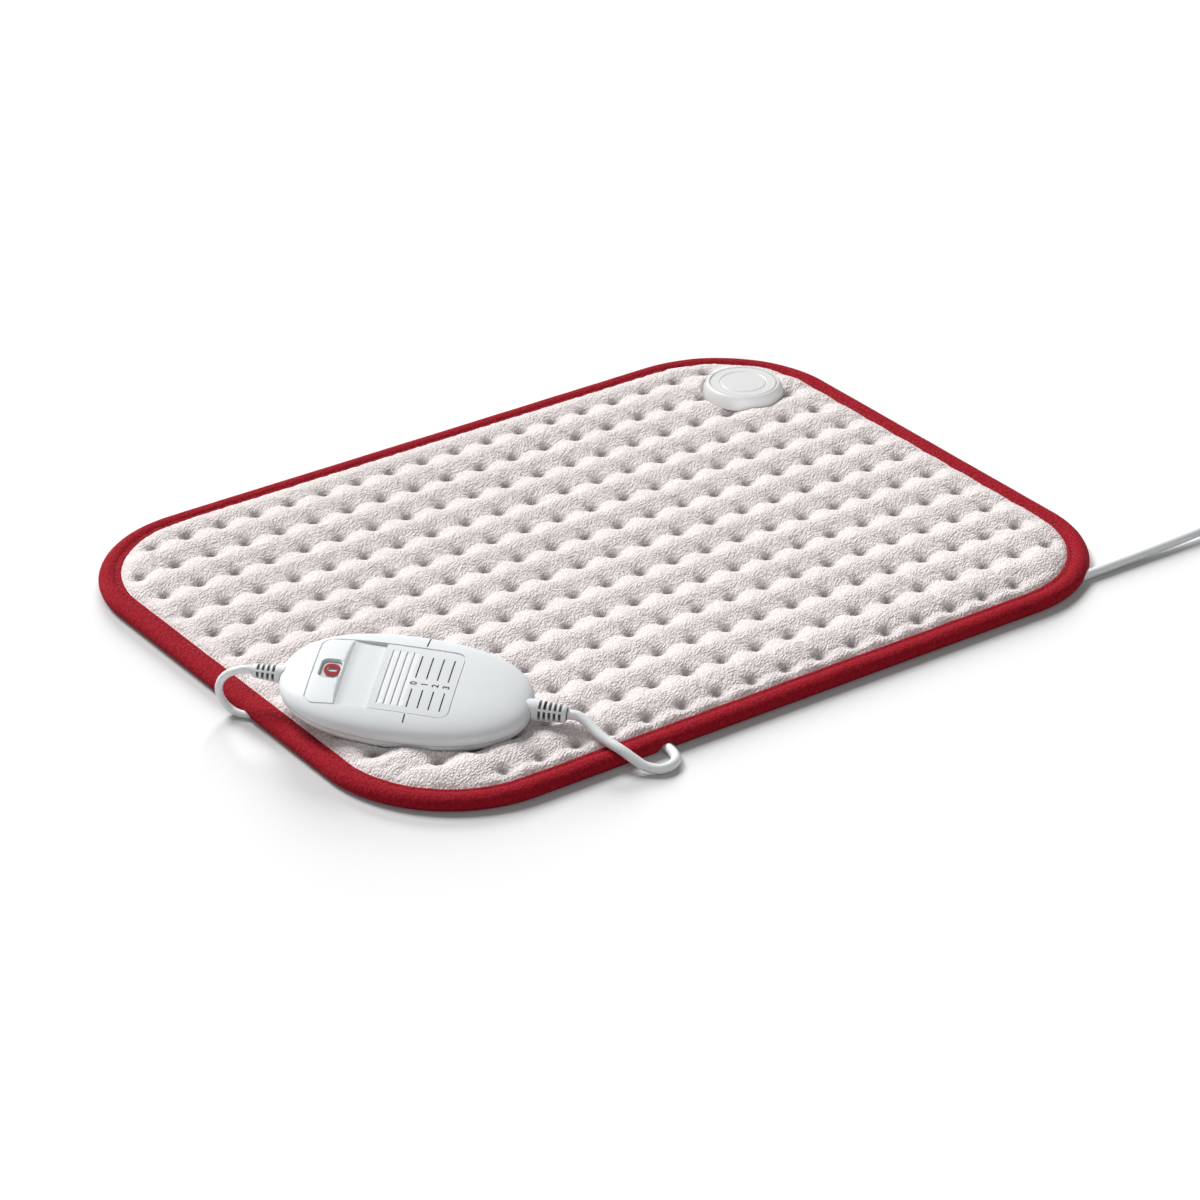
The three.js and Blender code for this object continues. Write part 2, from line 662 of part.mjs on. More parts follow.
/** Triangles between two rows of points. */
function zip(front, back, triangles) {
  let i = 0;
  let j = 0;
  while (i < front.length - 1 || j < back.length - 1) {
    const nextFront = i < front.length - 1 ? front[i + 1].x : Infinity;
    const nextBack = j < back.length - 1 ? back[j + 1].x : Infinity;
    if (nextFront <= nextBack) {
      triangles.push([front[i], front[i + 1], back[j]]);
      i += 1;
    } else {
      triangles.push([front[i], back[j + 1], back[j]]);
      j += 1;
    }
  }
}

/** The geometry of a list of triangles. */
function fromTriangles(triangles) {
  const numbers = triangles.flat().flatMap((point) => point.toArray());
  const geometry = new THREE.BufferGeometry();
  geometry.setAttribute('position', new THREE.Float32BufferAttribute(numbers, 3));
  return geometry;
}

/** A quad as two triangles. */
function quad(a, b, c, d, triangles) {
  triangles.push([a, b, c], [a, c, d]);
}

/** Top cover: a flat lower face, drawn-in sides and a face of ridges and sewn tufts. */
function quilt() {
  const lines = quiltLines();
  const triangles = [];
  const floor = (point) => new THREE.Vector3(point.x, point.y, COVER_BASE);
  for (let i = 0; i < lines.length - 1; i += 1) {
    const [front, back] = [lines[i].points, lines[i + 1].points];
    const [frontLeft, frontRight] = [front[0], front.at(-1)];
    const [backLeft, backRight] = [back[0], back.at(-1)];
    joinLines(lines[i], lines[i + 1], triangles);
    quad(floor(frontLeft), floor(backLeft), floor(backRight), floor(frontRight), triangles);
    quad(frontLeft, backLeft, floor(backLeft), floor(frontLeft), triangles);
    quad(backRight, frontRight, floor(frontRight), floor(backRight), triangles);
  }
  const [firstLeft, firstRight] = lines[0].points;
  const [lastLeft, lastRight] = lines.at(-1).points;
  quad(firstRight, firstLeft, floor(firstLeft), floor(firstRight), triangles);
  quad(lastLeft, lastRight, floor(lastRight), floor(lastLeft), triangles);
  return fromTriangles(triangles);
}

/** Top cover with the coupling's post hole and seat, and the bed that the controller presses. */
function topCover() {
  const place = [COUPLING_X, COUPLING_Y, ROUND_STEPS];
  const hole = rod(POST_RADIUS + FIT, -PAST, CAP_SEAT, ...place);
  const seat = rod(CAP_RADIUS + FIT, CAP_SEAT - FIT, CAP_SEAT + PAST, ...place);
  const bed = pebble(-BED_CLEAR, PEBBLE_STEPS / 2).applyMatrix4(housingFrame.matrixWorld);
  return solid(quilt()).subtract(solid(hole)).subtract(solid(seat)).subtract(solid(bed));
}

function makePad() {
  piece('pad_top_cover', shapeOf(topCover()), 'fleece');
  piece('pad_bottom_cover', shapeOf(bottomCover()), 'underCloth');
  piece('edge_binding', shapeOf(edgeBinding()), 'binding');
  const carrier = raised(heaterOutline(FIT), CARRIER_TOP - CARRIER_THICKNESS, CARRIER_TOP);
  piece('heater_carrier', carrier, 'carrier');
  piece('heating_wire', tube(wireRoute(), WIRE_DIAMETER, 6), 'wire');
  const capsuleX = -PAD_LENGTH / 2 + HEATER_LEFT + PAD_LENGTH / 3;
  const capsule = new THREE.BoxGeometry(...FUSE_CAPSULE);
  const capsuleZ = CARRIER_TOP + FIT + FUSE_CAPSULE[2] / 2;
  piece('pad_thermal_fuse', capsule.translate(capsuleX, COUPLING_Y - PIN_SPACING / 2, capsuleZ), 'part');
}

// Coupling

/** Disc below the pad with the post that carries the contacts through it. */
function couplingBase() {
  const top = CAP_SEAT + POST_HEIGHT;
  const body = turned([
    [0, FIT], [BASE_RADIUS - FIT, FIT], [BASE_RADIUS, 2 * FIT], [BASE_RADIUS, UNDER_TOP - FIT],
    [POST_RADIUS, UNDER_TOP - FIT], [POST_RADIUS, top - FIT], [POST_RADIUS - FIT, top], [0, top],
  ]);
  let base = solid(body);
  for (const side of [-1, 1]) {
    const hole = rod(PIN_RADIUS + FIT, UNDER_TOP - FIT, top + PAST, (side * PIN_SPACING) / 2, 0);
    base = base.subtract(solid(hole));
  }
  return base;
}

/** Round housing on top: bulging side, chamfered shoulder and a recess for the disc. */
function couplingCap() {
  const roof = CAP_HEIGHT - TOP_DISC_THICKNESS - FIT;
  return turned([
    [0, roof - CAP_WALL / 2], [CAP_RADIUS - 2 * CAP_WALL, roof - CAP_WALL / 2],
    [CAP_RADIUS - 2 * CAP_WALL, CLAMP_THICKNESS + FIT], [CAP_RADIUS - CAP_WALL, CLAMP_THICKNESS + FIT],
    [CAP_RADIUS - CAP_WALL, 0], [CAP_RADIUS - 0.9, 0], [CAP_RADIUS - 0.2, 0.7],
    [CAP_RADIUS, 2], [CAP_RADIUS, CAP_HEIGHT - 3], [CAP_RADIUS - 0.6, CAP_HEIGHT - 1.6],
    [CAP_TOP_RADIUS, CAP_HEIGHT - 0.3], [CAP_TOP_RADIUS - 0.6, CAP_HEIGHT],
    [TOP_DISC_RADIUS + FIT, CAP_HEIGHT], [TOP_DISC_RADIUS + FIT, roof], [0, roof],
  ]);
}

/** Plate in the cap's top, with two ring grooves. */
function couplingTopDisc() {
  const profile = [[0, 0], [TOP_DISC_RADIUS, 0], [TOP_DISC_RADIUS, TOP_DISC_THICKNESS]];
  for (const share of [0.9, 0.64]) {
    const radius = share * TOP_DISC_RADIUS;
    profile.push([radius + GROOVE_WIDTH, TOP_DISC_THICKNESS]);
    profile.push([radius + GROOVE_WIDTH / 2, TOP_DISC_THICKNESS / 2], [radius, TOP_DISC_THICKNESS]);
  }
  profile.push([0, TOP_DISC_THICKNESS]);
  return turned(profile);
}

/** Flat ring that clamps the cloth round the post. */
function couplingClampRing() {
  const inner = POST_RADIUS + FIT;
  return turned([
    [inner, 0], [CLAMP_RADIUS, 0], [CLAMP_RADIUS, CLAMP_THICKNESS], [inner, CLAMP_THICKNESS], [inner, 0],
  ]);
}

function makeCoupling() {
  const coupling = new THREE.Group();
  coupling.position.set(COUPLING_X, COUPLING_Y, 0);
  heatingPad.add(coupling);
  piece('coupling_base', shapeOf(couplingBase()), 'plastic', coupling);
  piece('coupling_clamp_ring', couplingClampRing().translate(0, 0, CAP_SEAT), 'plastic', coupling);
  piece('coupling_cap', couplingCap().translate(0, 0, CAP_SEAT), 'plastic', coupling);
  const discLevel = CAP_SEAT + CAP_HEIGHT - TOP_DISC_THICKNESS;
  piece('coupling_top_disc', couplingTopDisc().translate(0, 0, discLevel), 'plastic', coupling);
  [-1, 1].forEach((side, i) => {
    const pin = rod(PIN_RADIUS, UNDER_TOP, CAP_SEAT + POST_HEIGHT + FIT, (side * PIN_SPACING) / 2, 0, 12);
    piece(`coupling_pin_${i + 1}`, pin, 'brass', coupling);
  });
}

// Controller

/** The housing's pebble shape, drawn in all round by an inset. */
function pebble(inset, around = PEBBLE_STEPS) {
  const geometry = new THREE.SphereGeometry(1, around, PEBBLE_RINGS).rotateX(Math.PI / 2);
  const position = geometry.attributes.position;
  for (let i = 0; i < position.count; i += 1) {
    const z = position.getZ(i);
    const flat = Math.hypot(position.getX(i), position.getY(i));
    const cosine = flat > 1e-6 ? position.getX(i) / flat : 1;
    const sine = flat > 1e-6 ? position.getY(i) / flat : 0;
    const power = z > 0 ? TOP_POWER : BOTTOM_POWER;
    const section = (flat ** power + Math.abs(z) ** power) ** (-1 / power);
    const plan = (Math.abs(cosine) ** PLAN_POWER + Math.abs(sine) ** PLAN_POWER) ** (-1 / PLAN_POWER);
    const height = (z > 0 ? HOUSING_TOP : HOUSING_BOTTOM) - inset;
    position.setXYZ(
      i,
      (HOUSING_LENGTH / 2 - inset) * flat * section * plan * cosine,
      (HOUSING_WIDTH / 2 - inset) * flat * section * plan * sine,
      height * z * section,
    );
  }
  return geometry;
}

/** The housing's outline at its seam, drawn in by an inset. */
function housingOutline(inset) {
  const points = [];
  for (let i = 0; i < PEBBLE_STEPS; i += 1) {
    const angle = (2 * Math.PI * i) / PEBBLE_STEPS;
    const cosine = Math.cos(angle);
    const sine = Math.sin(angle);
    const plan = (Math.abs(cosine) ** PLAN_POWER + Math.abs(sine) ** PLAN_POWER) ** (-1 / PLAN_POWER);
    points.push([
      (HOUSING_LENGTH / 2 - inset) * plan * cosine,
      (HOUSING_WIDTH / 2 - inset) * plan * sine,
    ]);
  }
  return polygon(points);
}

/** Everything between two heights of the controller. */
function slab(from, to) {
  return solid(block([-HOUSING_LENGTH, -HOUSING_WIDTH, from], [HOUSING_LENGTH, HOUSING_WIDTH, to]));
}

/** Rods at the four screw places, joined. */
function atScrews(radius, from, to) {
  const rods = screwPlaces().map(([u, w]) => solid(rod(radius, from, to, u, w, 16)));
  return rods.reduce((sum, next) => sum.add(next));
}

function screwPlaces() {
  return [[-SCREW_U, -SCREW_W], [-SCREW_U, SCREW_W], [SCREW_U, -SCREW_W], [SCREW_U, SCREW_W]];
}

/** Holes for the necks of both bend reliefs, and room for their flanges. */
function reliefHoles() {
  const neck = new THREE.CylinderGeometry(RELIEF_NECK + FIT, RELIEF_NECK + FIT, 2 * HOUSING_LENGTH, 20);
  return solid(neck.rotateZ(Math.PI / 2));
}

/** The panel's outline, drawn in by an inset. */
function panelOutline(inset) {
  const length = PANEL_RIGHT - PANEL_LEFT - 2 * inset;
  const middle = (PANEL_RIGHT + PANEL_LEFT) / 2;
  return roundedRectangle(length, PANEL_WIDTH - 2 * inset, PANEL_CORNER - inset, middle, 0);
}

/** Height of the trough's crowned floor, with the ramp at its end below the window. */
function troughFloor(u, w) {
  const crown = SLIDER_FLOOR - FLOOR_FALL * ((2 * w) / PANEL_WIDTH) ** 2;
  const share = THREE.MathUtils.clamp((u - TROUGH_LEFT) / RAMP_LENGTH, 0, 1);
  return crown + RAMP_RISE * (1 - share) ** 2;
}

/** Everything above a floor, over a range of u and across the panel. */
function above(stations, floorAt) {
  const roof = HOUSING_TOP + PAST;
  const half = PANEL_WIDTH / 2 + FIT;
  const rows = stations.map((u) => {
    const row = [];
    for (let i = 0; i <= FLOOR_STEPS; i += 1) {
      const w = half - (2 * half * i) / FLOOR_STEPS;
      row.push(new THREE.Vector3(u, w, floorAt(u, w)));
    }
    return row;
  });
  const lifted = (point) => new THREE.Vector3(point.x, point.y, roof);
  const triangles = [];
  for (let i = 0; i < rows.length - 1; i += 1) {
    const [a, b] = [rows[i], rows[i + 1]];
    for (let j = 0; j < FLOOR_STEPS; j += 1) {
      quad(a[j], b[j], b[j + 1], a[j + 1], triangles);
      quad(lifted(a[j]), lifted(a[j + 1]), lifted(b[j + 1]), lifted(b[j]), triangles);
    }
    quad(a[0], lifted(a[0]), lifted(b[0]), b[0], triangles);
    quad(a[FLOOR_STEPS], b[FLOOR_STEPS], lifted(b[FLOOR_STEPS]), lifted(a[FLOOR_STEPS]), triangles);
  }
  const [first, last] = [rows[0], rows.at(-1)];
  for (let j = 0; j < FLOOR_STEPS; j += 1) {
    quad(first[j], first[j + 1], lifted(first[j + 1]), lifted(first[j]), triangles);
    quad(last[j], lifted(last[j]), lifted(last[j + 1]), last[j + 1], triangles);
  }
  return solid(fromTriangles(triangles));
}

/** Places along the ramp where its curve is followed. */
function rampStations(front) {
  return [0, 1, 2, 3].map((i) => front + (RAMP_LENGTH * i) / 3);
}

/** Trough for the slider and its way, with a step and a ramp below the window. */
function sliderTrough() {
  const stations = [...rampStations(TROUGH_LEFT), PANEL_RIGHT + PAST];
  return above(stations, troughFloor).intersect(panelPrism(0));
}

/** The panel's outline through the whole housing. */
function panelPrism(inset) {
  return solid(raised(panelOutline(inset), -PAST, HOUSING_TOP + 2 * PAST, 4));
}

/** Fine groove round the window panel, up to the slider's trough. */
function panelGroove() {
  const ring = panelPrism(0).subtract(panelPrism(GROOVE_WIDTH));
  const low = [PANEL_LEFT - PAST, -PANEL_WIDTH, 0];
  const high = [TROUGH_LEFT + FIT, PANEL_WIDTH, HOUSING_TOP + PAST];
  return ring.intersect(solid(block(low, high))).subtract(solid(pebble(GROOVE_DEPTH)));
}

/** Upper half of the housing with its window, trough and screw bosses. */
function topShell() {
  const outside = solid(pebble(0));
  const inside = solid(pebble(HOUSING_WALL));
  const trough = sliderTrough();
  const well = block(
    [TROUGH_LEFT - FIT, -PANEL_WIDTH / 2 - TROUGH_PLATE, TROUGH_UNDER],
    [PANEL_RIGHT + TROUGH_PLATE, PANEL_WIDTH / 2 + TROUGH_PLATE, HOUSING_TOP + PAST],
  );
  const bosses = atScrews(SCREW_SHANK + FIT + TOWER_WALL, FIT, HOUSING_TOP + PAST);
  const body = outside.subtract(inside).add(solid(well).intersect(outside)).add(bosses.intersect(outside));
  const window = raised(
    roundedRectangle(WINDOW_LENGTH, WINDOW_WIDTH, WINDOW_CORNER, WINDOW_U, 0), 0, HOUSING_TOP + PAST, 4,
  );
  const slot = block(
    [STEM_U - STEM_LENGTH / 2 - TRAVEL - FIT, -STEM_WIDTH / 2 - FIT, 0],
    [STEM_U + STEM_LENGTH / 2 + FIT, STEM_WIDTH / 2 + FIT, HOUSING_TOP],
  );
  const pilots = atScrews(SCREW_SHANK + FIT, -PAST, screwTip() + FIT);
  return body
    .intersect(slab(FIT / 2, HOUSING_TOP + PAST))
    .subtract(trough)
    .subtract(panelGroove())
    .subtract(solid(window))
    .subtract(solid(slot))
    .subtract(pilots)
    .subtract(reliefHoles());
}

/** Height of the screws' seats in the lower shell and of their tips. */
function screwSeat() {
  return -HOUSING_BOTTOM + 2 * HOUSING_WALL + SCREW_HEAD_HEIGHT;
}

function screwTip() {
  return screwSeat() + SCREW_LENGTH;
}

/** Lower half of the housing with its lip, board posts and screw towers. */
function bottomShell() {
  const outside = solid(pebble(0));
  const inside = solid(pebble(HOUSING_WALL));
  const lipOutside = HOUSING_WALL + 2 * FIT;
  const lip = solid(raised(housingOutline(lipOutside), -LIP_HEIGHT, LIP_HEIGHT));
  const lipFoot = solid(raised(housingOutline(HOUSING_WALL / 2), -LIP_HEIGHT - FIT, -FIT));
  const lipOpening = solid(raised(housingOutline(lipOutside + LIP_WALL), -PAST, PAST));
  const towers = atScrews(SCREW_HEAD + FIT + TOWER_WALL, -HOUSING_BOTTOM, -FIT).intersect(outside);
  let shell = outside.subtract(inside).intersect(slab(-HOUSING_BOTTOM - PAST, -FIT / 2));
  shell = shell.add(lip.add(lipFoot).subtract(lipOpening)).add(towers);
  for (const u of [-POST_U, POST_U]) {
    for (const w of [-POST_W, POST_W]) {
      const post = rod(POST_SIZE, -HOUSING_BOTTOM, BOARD_TOP - BOARD_THICKNESS - FIT, u, w, 12);
      shell = shell.add(solid(post).intersect(outside));
    }
  }
  const bossRoom = atScrews(SCREW_SHANK + 2 * FIT + TOWER_WALL, 0, HOUSING_TOP);
  const heads = atScrews(SCREW_HEAD + FIT, -HOUSING_BOTTOM - PAST, screwSeat());
  const shanks = atScrews(SCREW_SHANK + FIT, -HOUSING_BOTTOM, PAST);
  return shell.subtract(bossRoom).subtract(heads).subtract(shanks).subtract(reliefHoles());
}

/** Slider: ribbed plate, flush with the housing, and the stem that goes down through the trough. */
function slider() {
  const stations = [...rampStations(SLIDER_FRONT), PANEL_RIGHT];
  const over = above(stations, (u, w) => troughFloor(u - TRAVEL, w) + FIT);
  let plate = over.intersect(panelPrism(FIT)).intersect(solid(pebble(SLIDER_SINK)));
  for (let i = 0; i < RIB_COUNT; i += 1) {
    const u = SLIDER_FRONT + RIB_PITCH * (i + 1);
    const groove = new THREE.CylinderGeometry(RIB_GROOVE, RIB_GROOVE, RIB_LENGTH, 8);
    plate = plate.subtract(solid(groove.translate(u, 0, HOUSING_TOP - SLIDER_SINK)));
  }
  const stem = block(
    [STEM_U - STEM_LENGTH / 2, -STEM_WIDTH / 2, TROUGH_UNDER],
    [STEM_U + STEM_LENGTH / 2, STEM_WIDTH / 2, SLIDER_BASE + FIT],
  );
  return plate.add(solid(stem));
}

/** Window lens with a rim below the housing's wall. */
function indicatorLens() {
  const rim = raised(
    roundedRectangle(WINDOW_LENGTH + 2 * LENS_RIM, WINDOW_WIDTH + 2 * LENS_RIM, WINDOW_CORNER, WINDOW_U, 0),
    HOUSING_TOP - 5 * LENS_SINK, HOUSING_TOP, 4,
  );
  const boss = raised(
    roundedRectangle(WINDOW_LENGTH - 2 * FIT, WINDOW_WIDTH - 2 * FIT, WINDOW_CORNER - FIT, WINDOW_U, 0),
    HOUSING_TOP - 4 * LENS_SINK, HOUSING_TOP, 4,
  );
  const below = solid(rim).intersect(solid(pebble(HOUSING_WALL + FIT)));
  const thin = slab(TROUGH_UNDER + FIT, HOUSING_TOP);
  return below.add(solid(boss).intersect(solid(pebble(LENS_SINK)))).intersect(thin);
}

/** Sleeve that guards a cord where it leaves the housing, slotted above and below. */
function bendRelief({ out, root, tip, slots }) {
  const inner = HOUSING_LENGTH / 2 - RELIEF_INSET;
  const start = HOUSING_LENGTH / 2 + FIT;
  const end = HOUSING_LENGTH / 2 + out;
  const anchor = turned([
    [0, inner - RELIEF_FLANGE_THICKNESS], [RELIEF_FLANGE, inner - RELIEF_FLANGE_THICKNESS],
    [RELIEF_FLANGE, inner], [RELIEF_NECK, inner], [RELIEF_NECK, start + 1], [0, start + 1],
  ], RELIEF_STEPS);
  const cone = turned([
    [0, inner], [root, inner], [root, start], [tip, end - 0.5], [tip - 0.5, end], [0, end],
  ], RELIEF_STEPS);
  const outside = solid(cone.rotateY(Math.PI / 2)).subtract(solid(pebble(-FIT)));
  let sleeve = outside.add(solid(anchor.rotateY(Math.PI / 2)));
  const pitch = out / (slots + 1);
  for (let i = 0; i < slots; i += 1) {
    const u = start + pitch * (i + 0.55);
    const radius = root + ((tip - root) * (u - start)) / (end - start);
    for (const side of [-1, 1]) {
      const near = side * (radius - SLOT_DEPTH);
      const far = side * (radius + PAST);
      const cut = block(
        [u - SLOT_WIDTH / 2, -radius, Math.min(near, far)],
        [u + SLOT_WIDTH / 2, radius, Math.max(near, far)],
      );
      sleeve = sleeve.subtract(solid(cut));
    }
  }
  return shapeOf(sleeve);
}

/** Board with a tongue below the window. */
function circuitBoard() {
  const half = BOARD_WIDTH / 2;
  const tongue = BOARD_TONGUE_WIDTH / 2;
  const outline = polygon([
    [BOARD_STEP, -half], [BOARD_RIGHT, -half], [BOARD_RIGHT, half], [BOARD_STEP, half],
    [BOARD_STEP, tongue], [BOARD_LEFT, tongue], [BOARD_LEFT, -tongue], [BOARD_STEP, -tongue],
  ]);
  const board = solid(raised(outline, BOARD_TOP - BOARD_THICKNESS, BOARD_TOP));
  return shapeOf(board.subtract(atScrews(SCREW_HEAD + 2 * FIT + TOWER_WALL, -HOUSING_BOTTOM, HOUSING_TOP)));
}

/** Bowed leaf that clicks from step to step on the board. */
function detentSpring() {
  const top = TROUGH_UNDER - 2 * FIT - BRIDGE_SIZE[2];
  const low = BOARD_TOP + FIT;
  const half = STEM_LENGTH / 2;
  const upper = [];
  const lower = [];
  for (let i = 0; i <= 8; i += 1) {
    const u = STEM_U - half + (STEM_LENGTH * i) / 8;
    const sag = Math.sin((Math.PI * i) / 8);
    const n = top - SPRING_THICKNESS - (top - low - SPRING_THICKNESS) * sag;
    upper.unshift([u, n + SPRING_THICKNESS]);
    lower.push([u, n]);
  }
  return across([...lower, ...upper], SPRING_WIDTH).translate(0, 0, -FIT / 2);
}

function makeController() {
  const inside = housingFrame;
  piece('controller_top_shell', shapeOf(topShell()), 'plastic', inside);
  piece('controller_bottom_shell', shapeOf(bottomShell()), 'plastic', inside);
  piece('slider', shapeOf(slider()), 'plastic', inside);
  const [bridgeLength, bridgeWidth, bridgeThickness] = BRIDGE_SIZE;
  const bridgeTop = TROUGH_UNDER - FIT;
  const bridge = new THREE.BoxGeometry(bridgeLength, bridgeWidth, bridgeThickness);
  piece('contact_bridge', bridge.translate(STEM_U, 0, bridgeTop - bridgeThickness / 2), 'brass', inside);
  piece('detent_spring', detentSpring(), 'steel', inside);
  piece('indicator_lens', shapeOf(indicatorLens()), 'lens', inside);
  const lamp = turned([[0, 0], [2.5, 0], [2.5, 2.2], [1.8, 3.6], [0, 4.2]], 16);
  piece('indicator_lamp', lamp.translate(WINDOW_U, 0, BOARD_TOP + FIT), 'lens', inside);
  piece('circuit_board', circuitBoard(), 'board', inside);
  [-1, 1].forEach((side, i) => {
    const track = new THREE.BoxGeometry(...TRACK_SIZE);
    const level = BOARD_TOP + FIT + TRACK_SIZE[2] / 2;
    track.translate(STEM_U - TRAVEL / 2, side * TRACK_W, level);
    piece(`contact_track_${i + 1}`, track, 'brass', inside);
  });
  const fuse = new THREE.CylinderGeometry(1.7, 1.7, 15, 16).rotateZ(Math.PI / 2);
  piece('fuse', fuse.translate(18, 13, BOARD_TOP + FIT + 1.7), 'lens', inside);
  const under = BOARD_TOP - BOARD_THICKNESS - FIT;
  piece('capacitor', block([-12, 2, under - 5], [2, 11, under]), 'part', inside);
  piece('thyristor', block([-4, -13, under - 4.4], [7, -4, under]), 'part', inside);
  piece('terminal_block_pad', block([-41, -7, under - 4.6], [-33, 7, under]), 'part', inside);
  piece('terminal_block_mains', block([26, -7, under - 4.6], [33.5, 7, under]), 'part', inside);
  const screw = [
    [0, 0], [SCREW_HEAD, 0], [SCREW_HEAD, SCREW_HEAD_HEIGHT], [SCREW_SHANK, SCREW_HEAD_HEIGHT],
    [SCREW_SHANK, SCREW_HEAD_HEIGHT + SCREW_LENGTH - FIT], [0, SCREW_HEAD_HEIGHT + SCREW_LENGTH],
  ];
  screwPlaces().forEach(([u, w], i) => {
    const level = screwSeat() - SCREW_HEAD_HEIGHT - FIT;
    piece(`shell_screw_${i + 1}`, turned(screw, 12).translate(u, w, level), 'steel', inside);
  });
  piece('bend_relief_mains', bendRelief(MAINS_RELIEF), 'sleeve', inside);
  piece('bend_relief_pad', bendRelief(PAD_RELIEF).rotateZ(Math.PI), 'sleeve', inside);
}

// Cords, coil and plug

/** Band round the coil's turns on the side away from the lead. */
function coilTie() {
  const pitch = MAINS_DIAMETER + COIL_GAP;
  const wound = (COIL_TURNS - 0.5) / 2;
  const outer = COIL_MIDDLE / 2 + (wound * pitch) / 2;
  const centreY = COIL_LINE_Y - outer;
  const half = MAINS_DIAMETER / 2 + FIT;
  const far = centreY - outer + 0.5 * pitch - half;
  const near = centreY - outer + (wound - 0.25) * pitch + half + FIT;
  const low = coilBase() - half;
  const high = coilBase() + pitch + half;
  const band = block(
    [COIL_X - TIE_LENGTH / 2, far - TIE_WALL, low - TIE_WALL],
    [COIL_X + TIE_LENGTH / 2, near + TIE_WALL, high + TIE_WALL],
  );
  const opening = block([COIL_X - TIE_LENGTH, far, low], [COIL_X + TIE_LENGTH, near, high]);
  return shapeOf(solid(band).subtract(solid(opening)));
}

/** Tapered sleeve of the plug with ring grooves. */
function plugRelief() {
  const profile = [[0, 0], [PLUG_RELIEF_TIP, 0]];
  const pitch = PLUG_RELIEF_LENGTH / (PLUG_RELIEF_RINGS + 1);
  for (let i = 1; i <= PLUG_RELIEF_RINGS; i += 1) {
    const share = i / (PLUG_RELIEF_RINGS + 1);
    const radius = PLUG_RELIEF_TIP + (PLUG_RELIEF_ROOT - PLUG_RELIEF_TIP) * share;
    const at = pitch * i;
    profile.push([radius, at - 0.8], [radius - 0.8, at - 0.5], [radius - 0.8, at + 0.3], [radius, at + 0.6]);
  }
  profile.push([PLUG_RELIEF_ROOT, PLUG_RELIEF_LENGTH], [0, PLUG_RELIEF_LENGTH]);
  return turned(profile, 12).rotateY(Math.PI / 2);
}

/** Flat two-pin plug body, wider towards its face. */
function plugBody() {
  const a = PLUG_WIDTH / 2 - PLUG_EDGE;
  const b = PLUG_NOSE / 2 - PLUG_EDGE;
  const back = PLUG_EDGE;
  const face = PLUG_LENGTH - PLUG_EDGE;
  const outline = polygon([
    [back, -a / 2], [face / 3, -a], [face * 0.75, -b], [face, -b],
    [face, b], [face * 0.75, b], [face / 3, a], [back, a / 2],
  ]);
  return new THREE.ExtrudeGeometry(outline, {
    depth: PLUG_HEIGHT - 2 * PLUG_EDGE,
    bevelEnabled: true,
    bevelThickness: PLUG_EDGE,
    bevelSize: PLUG_EDGE,
    bevelSegments: 2,
  }).translate(0, 0, -PLUG_HEIGHT / 2 + PLUG_EDGE);
}

function makeCords() {
  piece('pad_lead', tube(padLead, LEAD_DIAMETER, 8), 'cord');
  piece('mains_lead', tube(mainsLead, MAINS_DIAMETER, 8), 'cord');
  piece('mains_coil', tube(coil, MAINS_DIAMETER, 6), 'cord');
  piece('coil_tie', coilTie(), 'part');
  const coilEnd = coil.points.at(-1);
  const tailStart = coilEnd.x + FIT;
  const tailEnd = tailStart + TAIL_LENGTH;
  const tail = smoothRoute([
    new THREE.Vector3(tailStart, COIL_LINE_Y, coilEnd.z),
    new THREE.Vector3(tailStart + TAIL_LENGTH / 4, COIL_LINE_Y, coilEnd.z),
    new THREE.Vector3(tailEnd - TAIL_LENGTH / 4, COIL_LINE_Y, PLUG_AXIS),
    new THREE.Vector3(tailEnd, COIL_LINE_Y, PLUG_AXIS),
  ], 2);
  piece('mains_tail', tube(tail, MAINS_DIAMETER, 8), 'cord');
  const plug = new THREE.Group();
  plug.position.set(tailEnd + FIT, COIL_LINE_Y, PLUG_AXIS);
  heatingPad.add(plug);
  piece('plug_relief', plugRelief(), 'sleeve', plug);
  const bodyStart = PLUG_RELIEF_LENGTH + FIT;
  piece('plug_body', plugBody().translate(bodyStart, 0, 0), 'plastic', plug);
  [-1, 1].forEach((side, i) => {
    const pin = rod(PLUG_PIN_RADIUS, 0, PLUG_PIN_LENGTH, 0, 0, 12).rotateY(Math.PI / 2);
    const start = bodyStart + PLUG_LENGTH + FIT;
    piece(`plug_pin_${i + 1}`, pin.translate(start, (side * PLUG_PIN_SPACING) / 2, 0), 'steel', plug);
  });
}

makePad();
makeCoupling();
makeController();
makeCords();

const mainsLength = mainsLead.length + coil.length + TAIL_LENGTH;
const coilGap = leastGap(coil, MAINS_DIAMETER, LOOP_STEPS / 2);
console.log(`least gap between the coil's turns: ${coilGap.toFixed(2)} mm`);
console.log(`pad lead ${padLead.length.toFixed(0)} mm, mains lead ${mainsLength.toFixed(0)} mm`);

export default heatingPad;
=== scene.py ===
import logging
import math
from dataclasses import dataclass, field
from enum import Enum
from typing import Callable, Optional, Sequence

import bmesh
import bpy
import numpy as np
from mathutils import Matrix, Vector, noise
from mathutils.kdtree import KDTree


